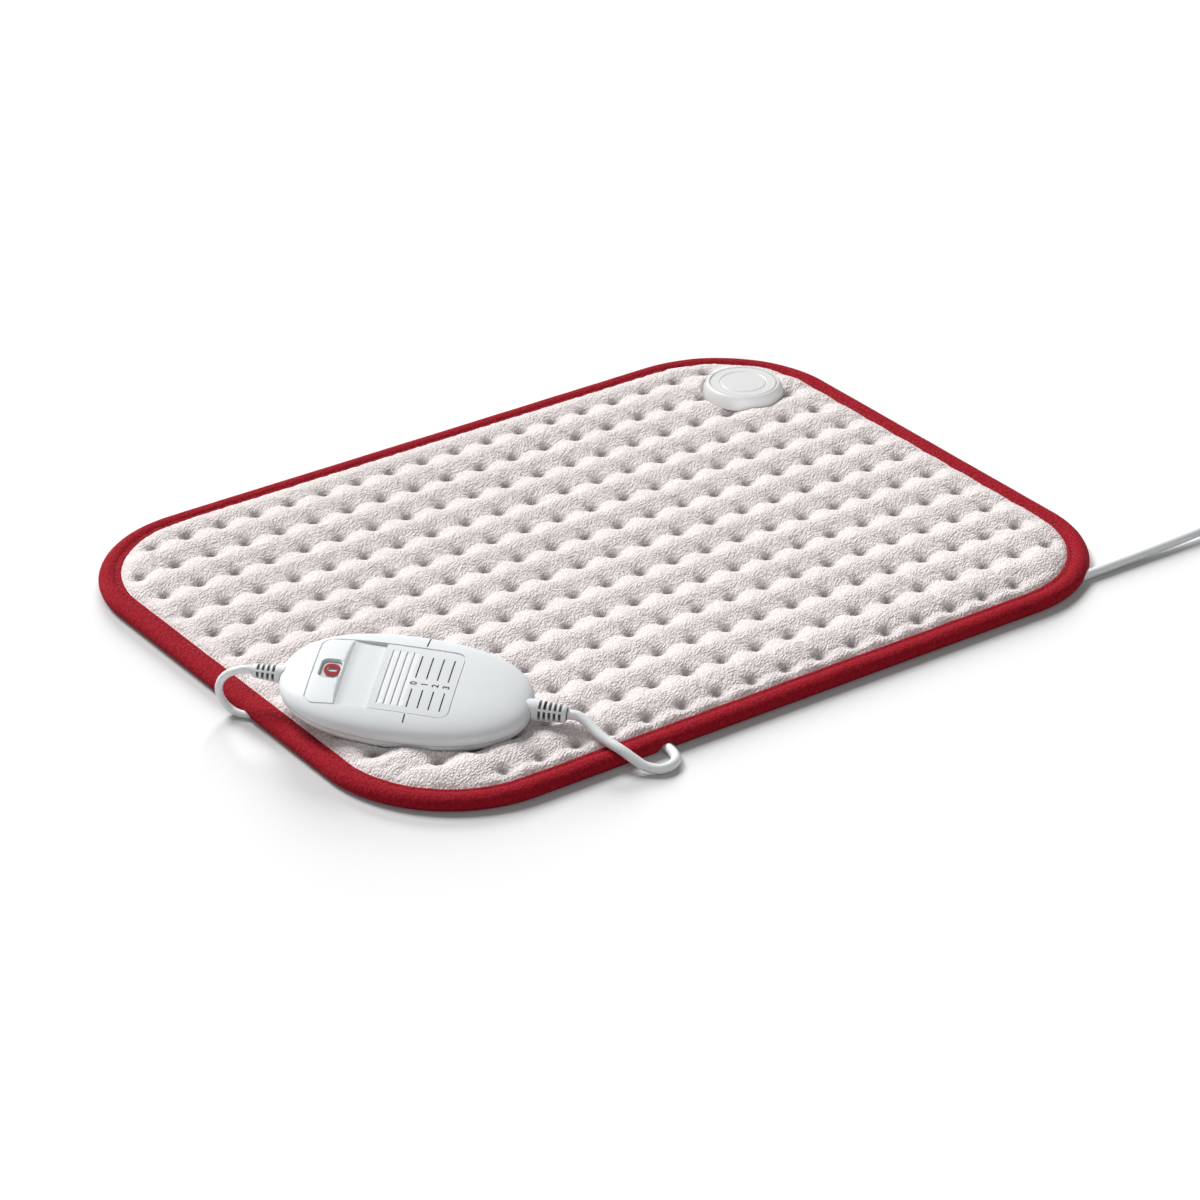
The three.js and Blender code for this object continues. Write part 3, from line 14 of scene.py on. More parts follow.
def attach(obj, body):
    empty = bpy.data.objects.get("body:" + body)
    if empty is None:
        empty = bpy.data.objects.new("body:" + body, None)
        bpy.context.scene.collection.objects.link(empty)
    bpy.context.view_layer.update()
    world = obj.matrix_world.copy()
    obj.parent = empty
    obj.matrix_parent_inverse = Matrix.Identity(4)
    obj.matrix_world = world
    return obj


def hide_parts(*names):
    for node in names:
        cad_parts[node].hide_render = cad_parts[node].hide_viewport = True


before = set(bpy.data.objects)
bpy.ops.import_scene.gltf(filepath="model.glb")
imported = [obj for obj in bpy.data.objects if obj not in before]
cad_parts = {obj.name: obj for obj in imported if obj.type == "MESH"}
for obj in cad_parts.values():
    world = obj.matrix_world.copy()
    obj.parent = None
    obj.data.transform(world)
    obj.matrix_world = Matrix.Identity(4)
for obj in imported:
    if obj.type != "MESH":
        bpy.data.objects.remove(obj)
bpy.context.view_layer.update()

MM = 0.001  # Metres in a millimetre
WELD = 1e-4  # Points nearer than this are one, in millimetres
TINY = 1e-9  # Keeps a division away from zero
FAR = 1e6  # Farther than anything here, in millimetres
CORD_PLAY = 0.06  # Room round a cord in a sleeve, in millimetres
WAVE_PERIOD = 0.314  # Period of a wave texture whose scale is 1, in metres
LOG = logging.getLogger("heating_pad")

Pair = tuple[float, float]
Triple = tuple[float, float, float]
Profile = Sequence[Pair]
Colour = Triple
Place = Callable[[float, float], Vector]
Level = Callable[[float, float], float]
Form = bmesh.types.BMesh
Piece = bpy.types.Object
Socket = bpy.types.NodeSocket
Array = np.ndarray
Grid = tuple[int, int]


class Body(Enum):
    """The two bodies that pieces ride on."""

    PAD = "pad"
    SLIDER = "slider"


class Cut(Enum):
    """Ways in which one solid shapes another."""

    AWAY = "DIFFERENCE"
    COMMON = "INTERSECT"
    JOINED = "UNION"


# Mesh helpers. Every bmesh is in millimetres until it becomes an object.


def bent(value: float, power: float) -> float:
    """Raise a value to a power and keep its sign."""
    return math.copysign(abs(value) ** power, value)


def patch(columns: int, rows: int, place: Place) -> Form:
    """Lay a grid on a surface and weld what meets.

    Args:
        columns: Faces along the first direction.
        rows: Faces along the second direction.
        place: Gives a point for two shares between 0 and 1.

    Returns:
        The new bmesh.
    """
    bm = bmesh.new()
    bmesh.ops.create_grid(bm, x_segments=columns, y_segments=rows, size=0.5)
    for vert in bm.verts:
        vert.co = place(vert.co.x + 0.5, vert.co.y + 0.5)
    bmesh.ops.remove_doubles(bm, verts=bm.verts[:], dist=WELD)
    return bm


def closed(bm: Form) -> Form:
    """Fill the open ends of a bmesh and turn its faces outwards.

    Args:
        bm: The mesh to close.

    Returns:
        The same mesh.
    """
    rim = [edge for edge in bm.edges if edge.is_boundary]
    if rim:
        bmesh.ops.holes_fill(bm, edges=rim, sides=0)
    bmesh.ops.recalc_face_normals(bm, faces=bm.faces[:])
    return bm


def turned(profile: Profile, steps: int) -> Form:
    """Spin a profile of radius and height about the vertical axis.

    Args:
        profile: Points from one end of the axis to the other, or a closed ring.
        steps: Faces in a full turn.

    Returns:
        A closed bmesh.
    """
    bm = bmesh.new()
    verts = [bm.verts.new((radius, 0.0, height)) for radius, height in profile]
    edges = [bm.edges.new(pair) for pair in zip(verts, verts[1:])]
    bmesh.ops.spin(
        bm, geom=verts + edges, cent=(0, 0, 0), axis=(0, 0, 1), dvec=(0, 0, 0),
        angle=2 * math.pi, steps=steps, use_merge=True, use_normal_flip=False, use_duplicate=False,
    )
    bmesh.ops.remove_doubles(bm, verts=bm.verts[:], dist=WELD)
    return closed(bm)


def block(low: Sequence[float], high: Sequence[float]) -> Form:
    """Make a box between two corners.

    Args:
        low: Lowest corner.
        high: Highest corner.

    Returns:
        The new bmesh.
    """
    bm = bmesh.new()
    bmesh.ops.create_cube(bm, size=1.0)
    size = [b - a for a, b in zip(low, high)]
    bmesh.ops.scale(bm, vec=size, verts=bm.verts[:])
    middle = [(a + b) / 2 for a, b in zip(low, high)]
    bmesh.ops.translate(bm, vec=middle, verts=bm.verts[:])
    return bm


def lying(bm: Form) -> Form:
    """Lay a spun piece down, so that its axis runs along the first direction."""
    bmesh.ops.rotate(bm, matrix=Matrix.Rotation(math.pi / 2, 3, "Y"), verts=bm.verts[:])
    return bm


def level_off(made: dict, height: float) -> None:
    """Bring the new points of an extrusion to one height.

    Args:
        made: What the extrusion returned.
        height: The height.
    """
    for part in made["geom"]:
        if isinstance(part, bmesh.types.BMVert):
            part.co.z = height


def rounded_bar(low: Sequence[float], high: Sequence[float], corner: float) -> Form:
    """Make a box between two corners, with its upright edges rounded.

    Args:
        low: Lowest corner.
        high: Highest corner.
        corner: Radius of the upright edges.

    Returns:
        The new bmesh.
    """
    bm = block(low, high)
    upright = [e for e in bm.edges if abs(e.verts[0].co.z - e.verts[1].co.z) > WELD]
    bmesh.ops.bevel(
        bm, geom=upright, offset=corner, offset_type="OFFSET", affect="EDGES", segments=8,
        profile=0.5, material=-1,
    )
    return bm


def linked(name: str, data: bpy.types.ID) -> Piece:
    """Make an object of a mesh, camera, lamp or curve and put it into the scene.

    Args:
        name: Name of the object.
        data: What it shows.

    Returns:
        The object.
    """
    obj = bpy.data.objects.new(name, data)
    bpy.context.scene.collection.objects.link(obj)
    return obj


def as_object(bm: Form, name: str, place: Optional[Matrix] = None) -> Piece:
    """Turn a bmesh in millimetres into an object at the origin.

    Args:
        bm: The mesh, which is freed.
        name: Name of the object.
        place: Optional placing in millimetres.

    Returns:
        The linked object, in metres.
    """
    if place is not None:
        bm.transform(place)
    bm.transform(Matrix.Scale(MM, 4))
    mesh = bpy.data.meshes.new(name)
    bm.to_mesh(mesh)
    bm.free()
    return linked(name, mesh)


def points_of(obj: Piece) -> Array:
    """Give an object's points in millimetres."""
    return np.array([v.co for v in obj.data.vertices]) / MM


def mark(obj: Piece, name: str, values: Array) -> None:
    """Store a value for each point of a piece, under a name that its finish reads."""
    obj.data.attributes.new(name, "FLOAT", "POINT").data.foreach_set("value", values)


def flat_tree(places: Sequence[Sequence[float]]) -> KDTree:
    """Sort places of the pad, so that the nearest can be found.

    Args:
        places: Their two coordinates.

    Returns:
        The tree, in which every place lies at height 0.
    """
    tree = KDTree(len(places))
    for i, (x, y) in enumerate(places):
        tree.insert((x, y, 0.0), i)
    tree.balance()
    return tree


def unevenness(x: float, y: float, size: float, layer: float) -> float:
    """Give a value between -1 and 1 of one layer of smooth waves, which are of a given size."""
    return noise.noise(Vector((x / size, y / size, layer)))


def bake(obj: Piece) -> None:
    """Make the result of an object's modifiers its own mesh.

    Args:
        obj: The object to bake.
    """
    graph = bpy.context.evaluated_depsgraph_get()
    mesh = bpy.data.meshes.new_from_object(obj.evaluated_get(graph))
    old = obj.data
    obj.modifiers.clear()
    obj.data = mesh
    bpy.data.meshes.remove(old)


def combine(obj: Piece, tool: "Piece | Form", cut: Cut) -> Piece:
    """Shape an object with a tool, which is used up.

    Args:
        obj: The object that stays.
        tool: An object or a bmesh in millimetres.
        cut: How the tool acts.

    Returns:
        The object that stays.
    """
    if isinstance(tool, Form):
        tool = as_object(tool, "tool")
    step = obj.modifiers.new(cut.name, "BOOLEAN")
    step.operation = cut.value
    step.solver = "EXACT"
    step.object = tool
    bake(obj)
    bpy.data.objects.remove(tool)
    return obj


def smooth(obj: Piece, crease: float) -> None:
    """Shade an object smooth, with creases where faces meet at an angle.

    Args:
        obj: The object to shade.
        crease: Least angle of a crease, in degrees.
    """
    bm = bmesh.new()
    bm.from_mesh(obj.data)
    for face in bm.faces:
        face.smooth = True
    for edge in bm.edges:
        edge.smooth = edge.calc_face_angle(0.0) < math.radians(crease)
    bm.to_mesh(obj.data)
    bm.free()


def dress(obj: Piece, finish: "Finish", slot: str, *nodes: str, crease: float,
          body: Body = Body.PAD) -> Piece:
    """Shade a piece, give it its material and body, and hide the CAD nodes that it stands for.

    Args:
        obj: The piece.
        finish: Its finish.
        slot: A material slot's name; not used.
        nodes: CAD nodes that it replaces.
        crease: Least angle of a crease, in degrees.
        body: The body that it rides on.

    Returns:
        The same piece.
    """
    smooth(obj, crease)
    obj.data.materials.clear()
    obj.data.materials.append(finish.material())
    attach(obj, body.value)
    if nodes:
        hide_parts(*nodes)
    LOG.info("%s: %d faces", obj.name, len(obj.data.polygons))
    return obj


# Finishes


class Shader:
    """A material's nodes, built out from its principled surface."""

    def __init__(self, name: str) -> None:
        """Start a material.

        Args:
            name: Name of the material.
        """
        self.material = bpy.data.materials.new(name)
        self.material.use_nodes = True
        self.tree = self.material.node_tree
        self.surface = self.tree.nodes["Principled BSDF"]

    def node(self, kind: str, inputs: Optional[dict] = None, **settings: object) -> bpy.types.Node:
        """Add a node.

        Args:
            kind: Blender's name of the node type, without its prefix.
            inputs: Socket values or links by socket name or number.
            settings: Values of the node's own properties.

        Returns:
            The node.
        """
        made = self.tree.nodes.new("ShaderNode" + kind)
        for name, value in settings.items():
            setattr(made, name, value)
        for name, value in (inputs or {}).items():
            self.feed(made.inputs[name], value)
        return made

    def feed(self, socket: Socket, value: object) -> None:
        """Set a socket's value, or link it where the value is an output.

        Args:
            socket: The input.
            value: A value or an output socket.
        """
        if isinstance(value, Socket):
            self.tree.links.new(value, socket)
        else:
            socket.default_value = (*value, 1.0) if socket.type == "RGBA" else value

    def where(self, turn: float) -> Socket:
        """Give the piece's own coordinates.

        Args:
            turn: Turns them about the vertical axis, in degrees.

        Returns:
            The coordinates' output.
        """
        place = self.node("TexCoord").outputs["Object"]
        if not turn:
            return place
        about = (0.0, 0.0, math.radians(turn))
        return self.node("Mapping", {"Vector": place, "Rotation": about}).outputs["Vector"]

    def grain(self, size: float, stretch: Sequence[float], turn: float) -> Socket:
        """Add small separate grains.

        Args:
            size: Size of a grain, in millimetres.
            stretch: Factors along the three axes.
            turn: Turns the grains about the vertical axis, in degrees.

        Returns:
            The distance from the middle of the next grain.
        """
        drawn = self.node("Mapping", {"Vector": self.where(turn), "Scale": stretch})
        place = drawn.outputs["Vector"]
        made = self.node("TexVoronoi", {"Vector": place, "Scale": 1 / (size * MM)})
        return made.outputs["Distance"]

    def noise(self, size: float, detail: float = 2.0, rough: float = 0.5,
              stretch: Sequence[float] = (1.0, 1.0, 1.0), shift: float = 0.0,
              turn: float = 0.0) -> Socket:
        """Add a noise of a given grain on the piece's own coordinates.

        Args:
            size: Grain in millimetres.
            detail: Octaves.
            rough: Weight of the finer octaves.
            stretch: Factors along the three axes.
            shift: Moves the pattern, so that two noises differ.
            turn: Turns the pattern about the vertical axis, in degrees.

        Returns:
            The noise's output.
        """
        place = self.node("Mapping", {
            "Vector": self.where(turn), "Scale": stretch, "Location": (shift, shift, shift),
        }).outputs["Vector"]
        made = self.node("TexNoise", {
            "Vector": place, "Scale": 1 / (size * MM), "Detail": detail, "Roughness": rough,
        })
        return made.outputs["Fac"]

    def ramp(self, value: Socket, low: float, high: float, to_low: float, to_high: float) -> Socket:
        """Map a range of values to another and clamp it.

        Args:
            value: Output to map.
            low: Start of its range.
            high: End of its range.
            to_low: Start of the new range.
            to_high: End of the new range.

        Returns:
            The mapped output.
        """
        made = self.node("MapRange", {
            "Value": value, "From Min": low, "From Max": high, "To Min": to_low, "To Max": to_high,
        })
        return made.outputs["Result"]

    def mix(self, share: object, first: object, second: object) -> Socket:
        """Mix two colours.

        Args:
            share: Share of the second colour.
            first: A colour or output.
            second: A colour or output.

        Returns:
            The mixed colour's output.
        """
        made = self.tree.nodes.new("ShaderNodeMix")
        made.data_type = "RGBA"
        sockets = [s for s in made.inputs if s.enabled]
        for socket, value in zip(sockets, (share, first, second)):
            self.feed(socket, value)
        return next(s for s in made.outputs if s.enabled)

    def bump(self, height: Socket, strength: float, depth: float,
             below: Optional[Socket] = None) -> Socket:
        """Add a bump.

        Args:
            height: Output that gives the height.
            strength: How much of it acts.
            depth: Height in millimetres.
            below: Normal of a coarser bump, if there is one.

        Returns:
            The bumped normal's output.
        """
        inputs = {"Height": height, "Strength": strength, "Distance": depth * MM}
        if below is not None:
            inputs["Normal"] = below
        return self.node("Bump", inputs).outputs["Normal"]

    def set(self, **values: object) -> None:
        """Set or link the surface's inputs, with _ for a space in their names."""
        for name, value in values.items():
            self.feed(self.surface.inputs[name.replace("_", " ")], value)


@dataclass(frozen=True)
class Finish:
    """A named finish that makes its material once."""

    name: str
    colour: Colour
    roughness: float = 0.5

    def material(self) -> bpy.types.Material:
        """Give the finish's material, made at its first use."""
        if self.name not in bpy.data.materials:
            self.paint(Shader(self.name))
        return bpy.data.materials[self.name]

    def shade(self, share: float) -> Colour:
        """Give the finish's colour, made darker or lighter by a share."""
        return tuple(min(channel * share, 1.0) for channel in self.colour)

    def paint(self, shader: Shader) -> None:
        """Build the material, which each kind of finish does in its own way."""
        raise NotImplementedError


@dataclass(frozen=True)
class Plush(Finish):
    """Cloth with a short pile: clumps, single fibres, a soft sheen and, where marked, painted shade
    in its pits.
    """

    clump: float = 1.6
    fibre: float = 0.5
    comb: float = 29.0
    drawn: float = 0.3
    depth: float = 0.45
    sheen: float = 0.12
    dark: float = 0.84
    # Point attribute that marks the pits, where painted shade darkens the pile
    pit_shade_attribute: str = ""
    pit_shade_tone: float = 0.24
    patch_size: float = 26.0
    patch_share: float = 0.25
    patch_tone: float = 0.95
    thread_share: float = 0.3
    thread_tone: float = 1.05

    def paint(self, shader: Shader) -> None:
        """Build the material.

        Args:
            shader: The empty material.
        """
        drawn = (self.drawn, 1.0, 0.6)
        clumps = shader.ramp(shader.grain(self.clump, drawn, -self.comb), 0.1, 0.75, 1.0, 0.0)
        fibres = shader.noise(self.fibre, 2.0, 0.7, drawn, shift=3.1, turn=-self.comb)
        patches = shader.noise(self.patch_size, 1.0, shift=7.7)
        dark, light = self.shade(self.dark), self.shade(self.thread_tone)
        pile = shader.mix(shader.ramp(clumps, 0.15, 0.75, 0.0, 1.0), dark, self.colour)
        threads = shader.mix(shader.ramp(fibres, 0.35, 0.65, 0.0, 1.0), dark, light)
        tone = shader.mix(self.thread_share, pile, threads)
        spots = shader.ramp(patches, 0.35, 0.65, 0.0, self.patch_share)
        worn = shader.mix(spots, tone, self.shade(self.patch_tone))
        # Painted shade: darken the pile in the pits by the marked attribute, over the worn tone
        if self.pit_shade_attribute:
            painted_shade = shader.node("Attribute", attribute_name=self.pit_shade_attribute).outputs["Fac"]
            worn = shader.mix(painted_shade, worn, self.shade(self.pit_shade_tone))
        low = shader.bump(clumps, 0.8, self.depth)
        normal = shader.bump(fibres, 0.6, self.depth / 2, low)
        dull, bright = min(self.roughness + 0.05, 1.0), self.roughness - 0.1
        shader.set(
            Base_Color=worn, Normal=normal, Sheen_Weight=self.sheen, Sheen_Roughness=0.55,
            Roughness=shader.ramp(clumps, 0.2, 0.8, dull, bright), Specular_IOR_Level=0.15,
        )


@dataclass(frozen=True)
class Woven(Finish):
    """Flat cloth with a plain weave."""

    pitch: float = 0.7
    patch_size: float = 18.0
    patch_tone: float = 0.9
    gap_tone: float = 0.82

    def paint(self, shader: Shader) -> None:
        """Build the material.

        Args:
            shader: The empty material.
        """
        where = shader.where(0.0)
        waves = []
        for direction in ("X", "Y"):
            wave = shader.node("TexWave", {
                "Vector": where, "Scale": WAVE_PERIOD / (self.pitch * MM), "Distortion": 1.2,
                "Detail": 1.0, "Detail Scale": 1.5,
            }, bands_direction=direction)
            waves.append(wave.outputs["Fac"])
        weave = shader.node("Math", {0: waves[0], 1: waves[1]}, operation="MULTIPLY").outputs[0]
        patches = shader.noise(self.patch_size, 3.0)
        gaps = self.shade(self.gap_tone)
        tone = shader.mix(shader.ramp(weave, 0.0, 0.6, 0.0, 1.0), gaps, self.colour)
        spots = shader.ramp(patches, 0.3, 0.7, 0.0, 0.3)
        worn = shader.mix(spots, tone, self.shade(self.patch_tone))
        normal = shader.bump(weave, 0.6, 0.25)
        shader.set(
            Base_Color=worn, Normal=normal, Sheen_Weight=0.15, Specular_IOR_Level=0.2,
            Roughness=shader.ramp(patches, 0.2, 0.8, self.roughness, self.roughness - 0.12),
        )


@dataclass(frozen=True)
class Moulded(Finish):
    """Moulded plastic: a fine satin grain, slight flow marks, softened gloss and, where marked,
    painted shade in its slots.
    """

    grain: float = 0.35
    relief: float = 0.02
    coat: float = 0.0
    gloss: float = 0.5
    # Point attribute that marks the slots, and the tone of the painted shade put there
    gaps: str = ""
    gap_tone: float = 0.1
    flow_size: float = 14.0
    flow_tone: float = 0.965
    speck_tone: float = 0.98

    def paint(self, shader: Shader) -> None:
        """Build the material.

        Args:
            shader: The empty material.
        """
        grain = shader.noise(self.grain, 2.0, 0.6)
        flow = shader.noise(self.flow_size, 2.0, 0.5, shift=2.3)
        marks, dots = self.shade(self.flow_tone), self.shade(self.speck_tone)
        tone = shader.mix(shader.ramp(flow, 0.3, 0.7, 0.0, 1.0), self.colour, marks)
        specks = shader.mix(shader.ramp(grain, 0.35, 0.65, 0.0, 0.5), tone, dots)
        rough = shader.node("Math", {
            0: shader.ramp(grain, 0.3, 0.7, self.roughness - 0.05, self.roughness + 0.05),
            1: shader.ramp(flow, 0.3, 0.7, -0.03, 0.03),
        }, operation="ADD").outputs[0]
        # Painted shade: darken the slots by the marked attribute
        if self.gaps:
            painted_shade = shader.node("Attribute", attribute_name=self.gaps).outputs["Fac"]
            specks = shader.mix(painted_shade, specks, self.shade(self.gap_tone))
        shader.set(
            Base_Color=specks, Roughness=rough, Normal=shader.bump(grain, 0.35, self.relief),
            Coat_Weight=self.coat, Specular_IOR_Level=self.gloss,
        )


@dataclass(frozen=True)
class Metal(Finish):
    """Drawn or stamped metal with fine lines and a faint tarnish."""

    lines: Triple = (1.0, 1.0, 14.0)
    line_size: float = 0.8
    tarnish_size: float = 5.0
    tarnish_tone: float = 0.78

    def paint(self, shader: Shader) -> None:
        """Build the material.

        Args:
            shader: The empty material.
        """
        lines = shader.noise(self.line_size, 2.0, 0.6, stretch=self.lines)
        tarnish = shader.noise(self.tarnish_size, 3.0, 0.6, shift=1.7)
        dull = self.shade(self.tarnish_tone)
        tone = shader.mix(shader.ramp(tarnish, 0.35, 0.7, 0.0, 1.0), self.colour, dull)
        shader.set(
            Base_Color=tone, Metallic=1.0, Normal=shader.bump(lines, 0.25, 0.02),
            Roughness=shader.ramp(lines, 0.3, 0.7, self.roughness - 0.08, self.roughness + 0.1),
        )


@dataclass(frozen=True)
class Ink(Finish):
    """Pad-printed ink, a little uneven."""

    blot_size: float = 0.5
    thin_tone: float = 1.35

    def paint(self, shader: Shader) -> None:
        """Build the material.

        Args:
            shader: The empty material.
        """
        thin = shader.noise(self.blot_size, 2.0, 0.6)
        pale = self.shade(self.thin_tone)
        tone = shader.mix(shader.ramp(thin, 0.35, 0.75, 0.0, 1.0), self.colour, pale)
        shader.set(
            Base_Color=tone, Normal=shader.bump(thin, 0.2, 0.01), Specular_IOR_Level=0.2,
            Roughness=shader.ramp(thin, 0.3, 0.7, self.roughness - 0.08, self.roughness + 0.08),
        )


# The fleece paints shade into its pits from a point attribute.
FLEECE = Plush("fleece_pile", (0.985, 0.9, 0.88), 0.95, clump=1.0, fibre=0.5, drawn=0.6, depth=0.62,
               dark=0.66, pit_shade_attribute="tuft_depth")
RED_PILE = Plush("red_binding_cloth", (0.33, 0.006, 0.017), 0.9, clump=1.3, fibre=0.4, drawn=0.7,
                 depth=0.3, sheen=0.0, dark=0.72)
UNDER_CLOTH = Woven("under_cloth_weave", (0.76, 0.69, 0.66), 0.92)
CARRIER_CLOTH = Woven("carrier_weave", (0.82, 0.79, 0.71), 0.9, pitch=1.1)
RED_THREAD = Woven("red_sewing_thread", (0.30, 0.008, 0.016), 0.7, pitch=0.35)
WHITE_SHELL = Moulded("white_shell", (0.77, 0.795, 0.81), 0.4, gloss=0.32)
WHITE_SLIDER = Moulded("white_slider", (0.755, 0.78, 0.795), 0.5, relief=0.03, gloss=0.18)
COUPLING_SHELL = Moulded("coupling_shell", (0.555, 0.555, 0.552), 0.42, gloss=0.35)
# The sleeve paints shade into its slots from a point attribute.
SLEEVE = Moulded("sleeve_rubber", (0.78, 0.80, 0.81), 0.5, relief=0.03, gaps="slot_depth")
CORD_JACKET = Moulded("cord_jacket", (0.80, 0.82, 0.83), 0.42, grain=0.6, relief=0.03)
LENS = Moulded("window_lens", (0.62, 0.64, 0.65), 0.18, coat=0.4)
BOARD_GREEN = Moulded("board_lacquer", (0.03, 0.15, 0.06), 0.4)
DARK_PART = Moulded("dark_part", (0.025, 0.027, 0.03), 0.45)
WIRE_JACKET = Moulded("wire_jacket", (0.69, 0.58, 0.39), 0.5)
BRASS = Metal("brass_stamping", (0.60, 0.38, 0.11), 0.35)
STEEL = Metal("plated_steel", (0.50, 0.52, 0.55), 0.32)
DARK_INK = Ink("dark_print", (0.016, 0.017, 0.019), 0.6)
RED_INK = Ink("red_print", (0.29, 0.003, 0.009), 0.5)


# Stage


@dataclass(frozen=True)
class Lamp:
    """A soft lamp that hangs far away, with its angles in degrees."""

    name: str
    azimuth: float
    elevation: float
    strength: float
    width: float


@dataclass
class Stage:
    """Camera, floor and soft light of the studio."""

    azimuth: float = -35.61
    elevation: float = 28.58
    distance: float = 2133.8
    lens: float = 129.73
    sensor: float = 36.0
    far_clip: float = 100.0
    target: Triple = (-16.74, -26.74, 0.0)
    floor_size: float = 9000.0
    key: Lamp = Lamp("key", azimuth=184.0, elevation=43.0, strength=4.35, width=26.0)
    low: Lamp = Lamp("low", azimuth=146.0, elevation=17.0, strength=8.2, width=30.0)
    fill: Lamp = Lamp("fill", azimuth=-20.0, elevation=38.0, strength=0.5, width=60.0)
    front: Lamp = Lamp("front", azimuth=-35.61, elevation=18.0, strength=2.2, width=40.0)
    sky: float = 0.13
    floor_tone: Colour = (0.52, 0.52, 0.52)
    floor_lift: float = 0.04

    def direction(self, azimuth: float, elevation: float) -> Vector:
        """Give the unit vector towards an azimuth, 0 at the front, and an elevation in degrees."""
        a, e = math.radians(azimuth), math.radians(elevation)
        return Vector((math.sin(a) * math.cos(e), -math.cos(a) * math.cos(e), math.sin(e)))

    def camera(self) -> None:
        """Set up the camera at the photograph's viewing angle."""
        data = bpy.data.cameras.new("camera")
        data.lens = self.lens
        data.sensor_width = self.sensor
        data.clip_end = self.far_clip
        obj = linked("camera", data)
        back = self.direction(self.azimuth, self.elevation)
        obj.location = (Vector(self.target) + back * self.distance) * MM
        obj.rotation_euler = (-back).to_track_quat("-Z", "Y").to_euler()
        bpy.context.scene.camera = obj

    def hang(self, lamp: Lamp) -> Piece:
        """Hang a lamp.

        Args:
            lamp: Its place and strength.

        Returns:
            The lamp's object.
        """
        data = bpy.data.lights.new(lamp.name, "SUN")
        data.energy = lamp.strength
        data.angle = math.radians(lamp.width)
        obj = linked(lamp.name, data)
        towards = self.direction(lamp.azimuth, lamp.elevation)
        obj.rotation_euler = towards.to_track_quat("Z", "Y").to_euler()
        return obj

    def only_on(self, lamp: Piece, pieces: Sequence[Piece]) -> None:
        """Let a lamp light a few pieces only.

        Args:
            lamp: The lamp.
            pieces: What it lights.
        """
        lit = bpy.data.collections.new("lit_by_" + lamp.name)
        for piece in pieces:
            lit.objects.link(piece)
        lamp.light_linking.receiver_collection = lit

    def light_front(self, pieces: Sequence[Piece]) -> None:
        """Light pieces that the photograph shows evenly lit with a lamp beside the camera."""
        self.only_on(self.hang(self.front), pieces)

    def shown_rays(self, tree: bpy.types.NodeTree) -> Socket:
        """Pick out the rays that show the white surroundings.

        Args:
            tree: Nodes of a material or of the world.

        Returns:
            An output that is 1 for those rays and 0 for others.
        """
        path = tree.nodes.new("ShaderNodeLightPath")
        shown = path.outputs["Is Camera Ray"]
        for kind in ("Is Glossy Ray", "Is Transmission Ray"):
            either = tree.nodes.new("ShaderNodeMath")
            either.operation = "MAXIMUM"
            tree.links.new(shown, either.inputs[0])
            tree.links.new(path.outputs[kind], either.inputs[1])
            shown = either.outputs[0]
        return shown

    def light(self, floor: Piece) -> None:
        """Set up the lamps and the white surroundings.

        Args:
            floor: The floor, which alone is lit by the low lamp, for its long soft shadow.
        """
        self.hang(self.key)
        self.only_on(self.hang(self.low), [floor])
        self.hang(self.fill)
        world = bpy.data.worlds.new("studio")
        world.use_nodes = True
        bpy.context.scene.world = world
        tree = world.node_tree
        back = tree.nodes["Background"]
        back.inputs["Color"].default_value = (1.0, 1.0, 1.0, 1.0)
        seen = tree.nodes.new("ShaderNodeMapRange")
        seen.inputs["To Min"].default_value = self.sky
        seen.inputs["To Max"].default_value = 1.0
        tree.links.new(self.shown_rays(tree), seen.inputs["Value"])
        tree.links.new(seen.outputs["Result"], back.inputs["Strength"])

    def floor(self) -> Piece:
        """Lay the pale floor, which shows as white where no shadow falls.

        Returns:
            The floor.
        """
        bm = bmesh.new()
        bmesh.ops.create_grid(bm, x_segments=1, y_segments=1, size=self.floor_size / 2)
        obj = as_object(bm, "floor")
        shader = Shader("pale_floor")
        seen = self.shown_rays(shader.tree)
        shader.set(
            Base_Color=self.floor_tone, Roughness=0.9, Specular_IOR_Level=0.0,
            Emission_Color=(1.0, 1.0, 1.0),
            Emission_Strength=shader.ramp(seen, 0.0, 1.0, 0.0, self.floor_lift),
        )
        obj.data.materials.append(shader.material)
        return obj

    def build(self) -> None:
        """Set the whole stage."""
        bpy.context.scene.view_settings.view_transform = "Standard"
        self.camera()
        self.light(self.floor())


# Cords


def smooth_route(points: Sequence[Sequence[float]], step: float) -> list[Vector]:
    """Draw a centripetal curve through points.

    Args:
        points: The chosen points.
        step: Longest distance between the new points.

    Returns:
        Points along the curve.
    """
    given = [Vector(p) for p in points]
    padded = [2 * given[0] - given[1], *given, 2 * given[-1] - given[-2]]
    route = [given[0].copy()]
    for i in range(len(given) - 1):
        p0, p1, p2, p3 = padded[i:i + 4]
        t = [math.sqrt((b - a).length) for a, b in ((p0, p1), (p1, p2), (p2, p3))]
        m1 = ((p1 - p0) / t[0] - (p2 - p0) / (t[0] + t[1]) + (p2 - p1) / t[1]) * t[1]
        m2 = ((p2 - p1) / t[1] - (p3 - p1) / (t[1] + t[2]) + (p3 - p2) / t[2]) * t[1]
        count = max(2, math.ceil((p2 - p1).length / step))
        for k in range(1, count + 1):
            s = k / count
            route.append(
                p1 * (2 * s**3 - 3 * s**2 + 1) + m1 * (s**3 - 2 * s**2 + s)
                + p2 * (3 * s**2 - 2 * s**3) + m2 * (s**3 - s**2)
            )
    return route


def length_of(route: Sequence[Vector]) -> float:
    """Give the length of a route."""
    return sum((b - a).length for a, b in zip(route, route[1:]))


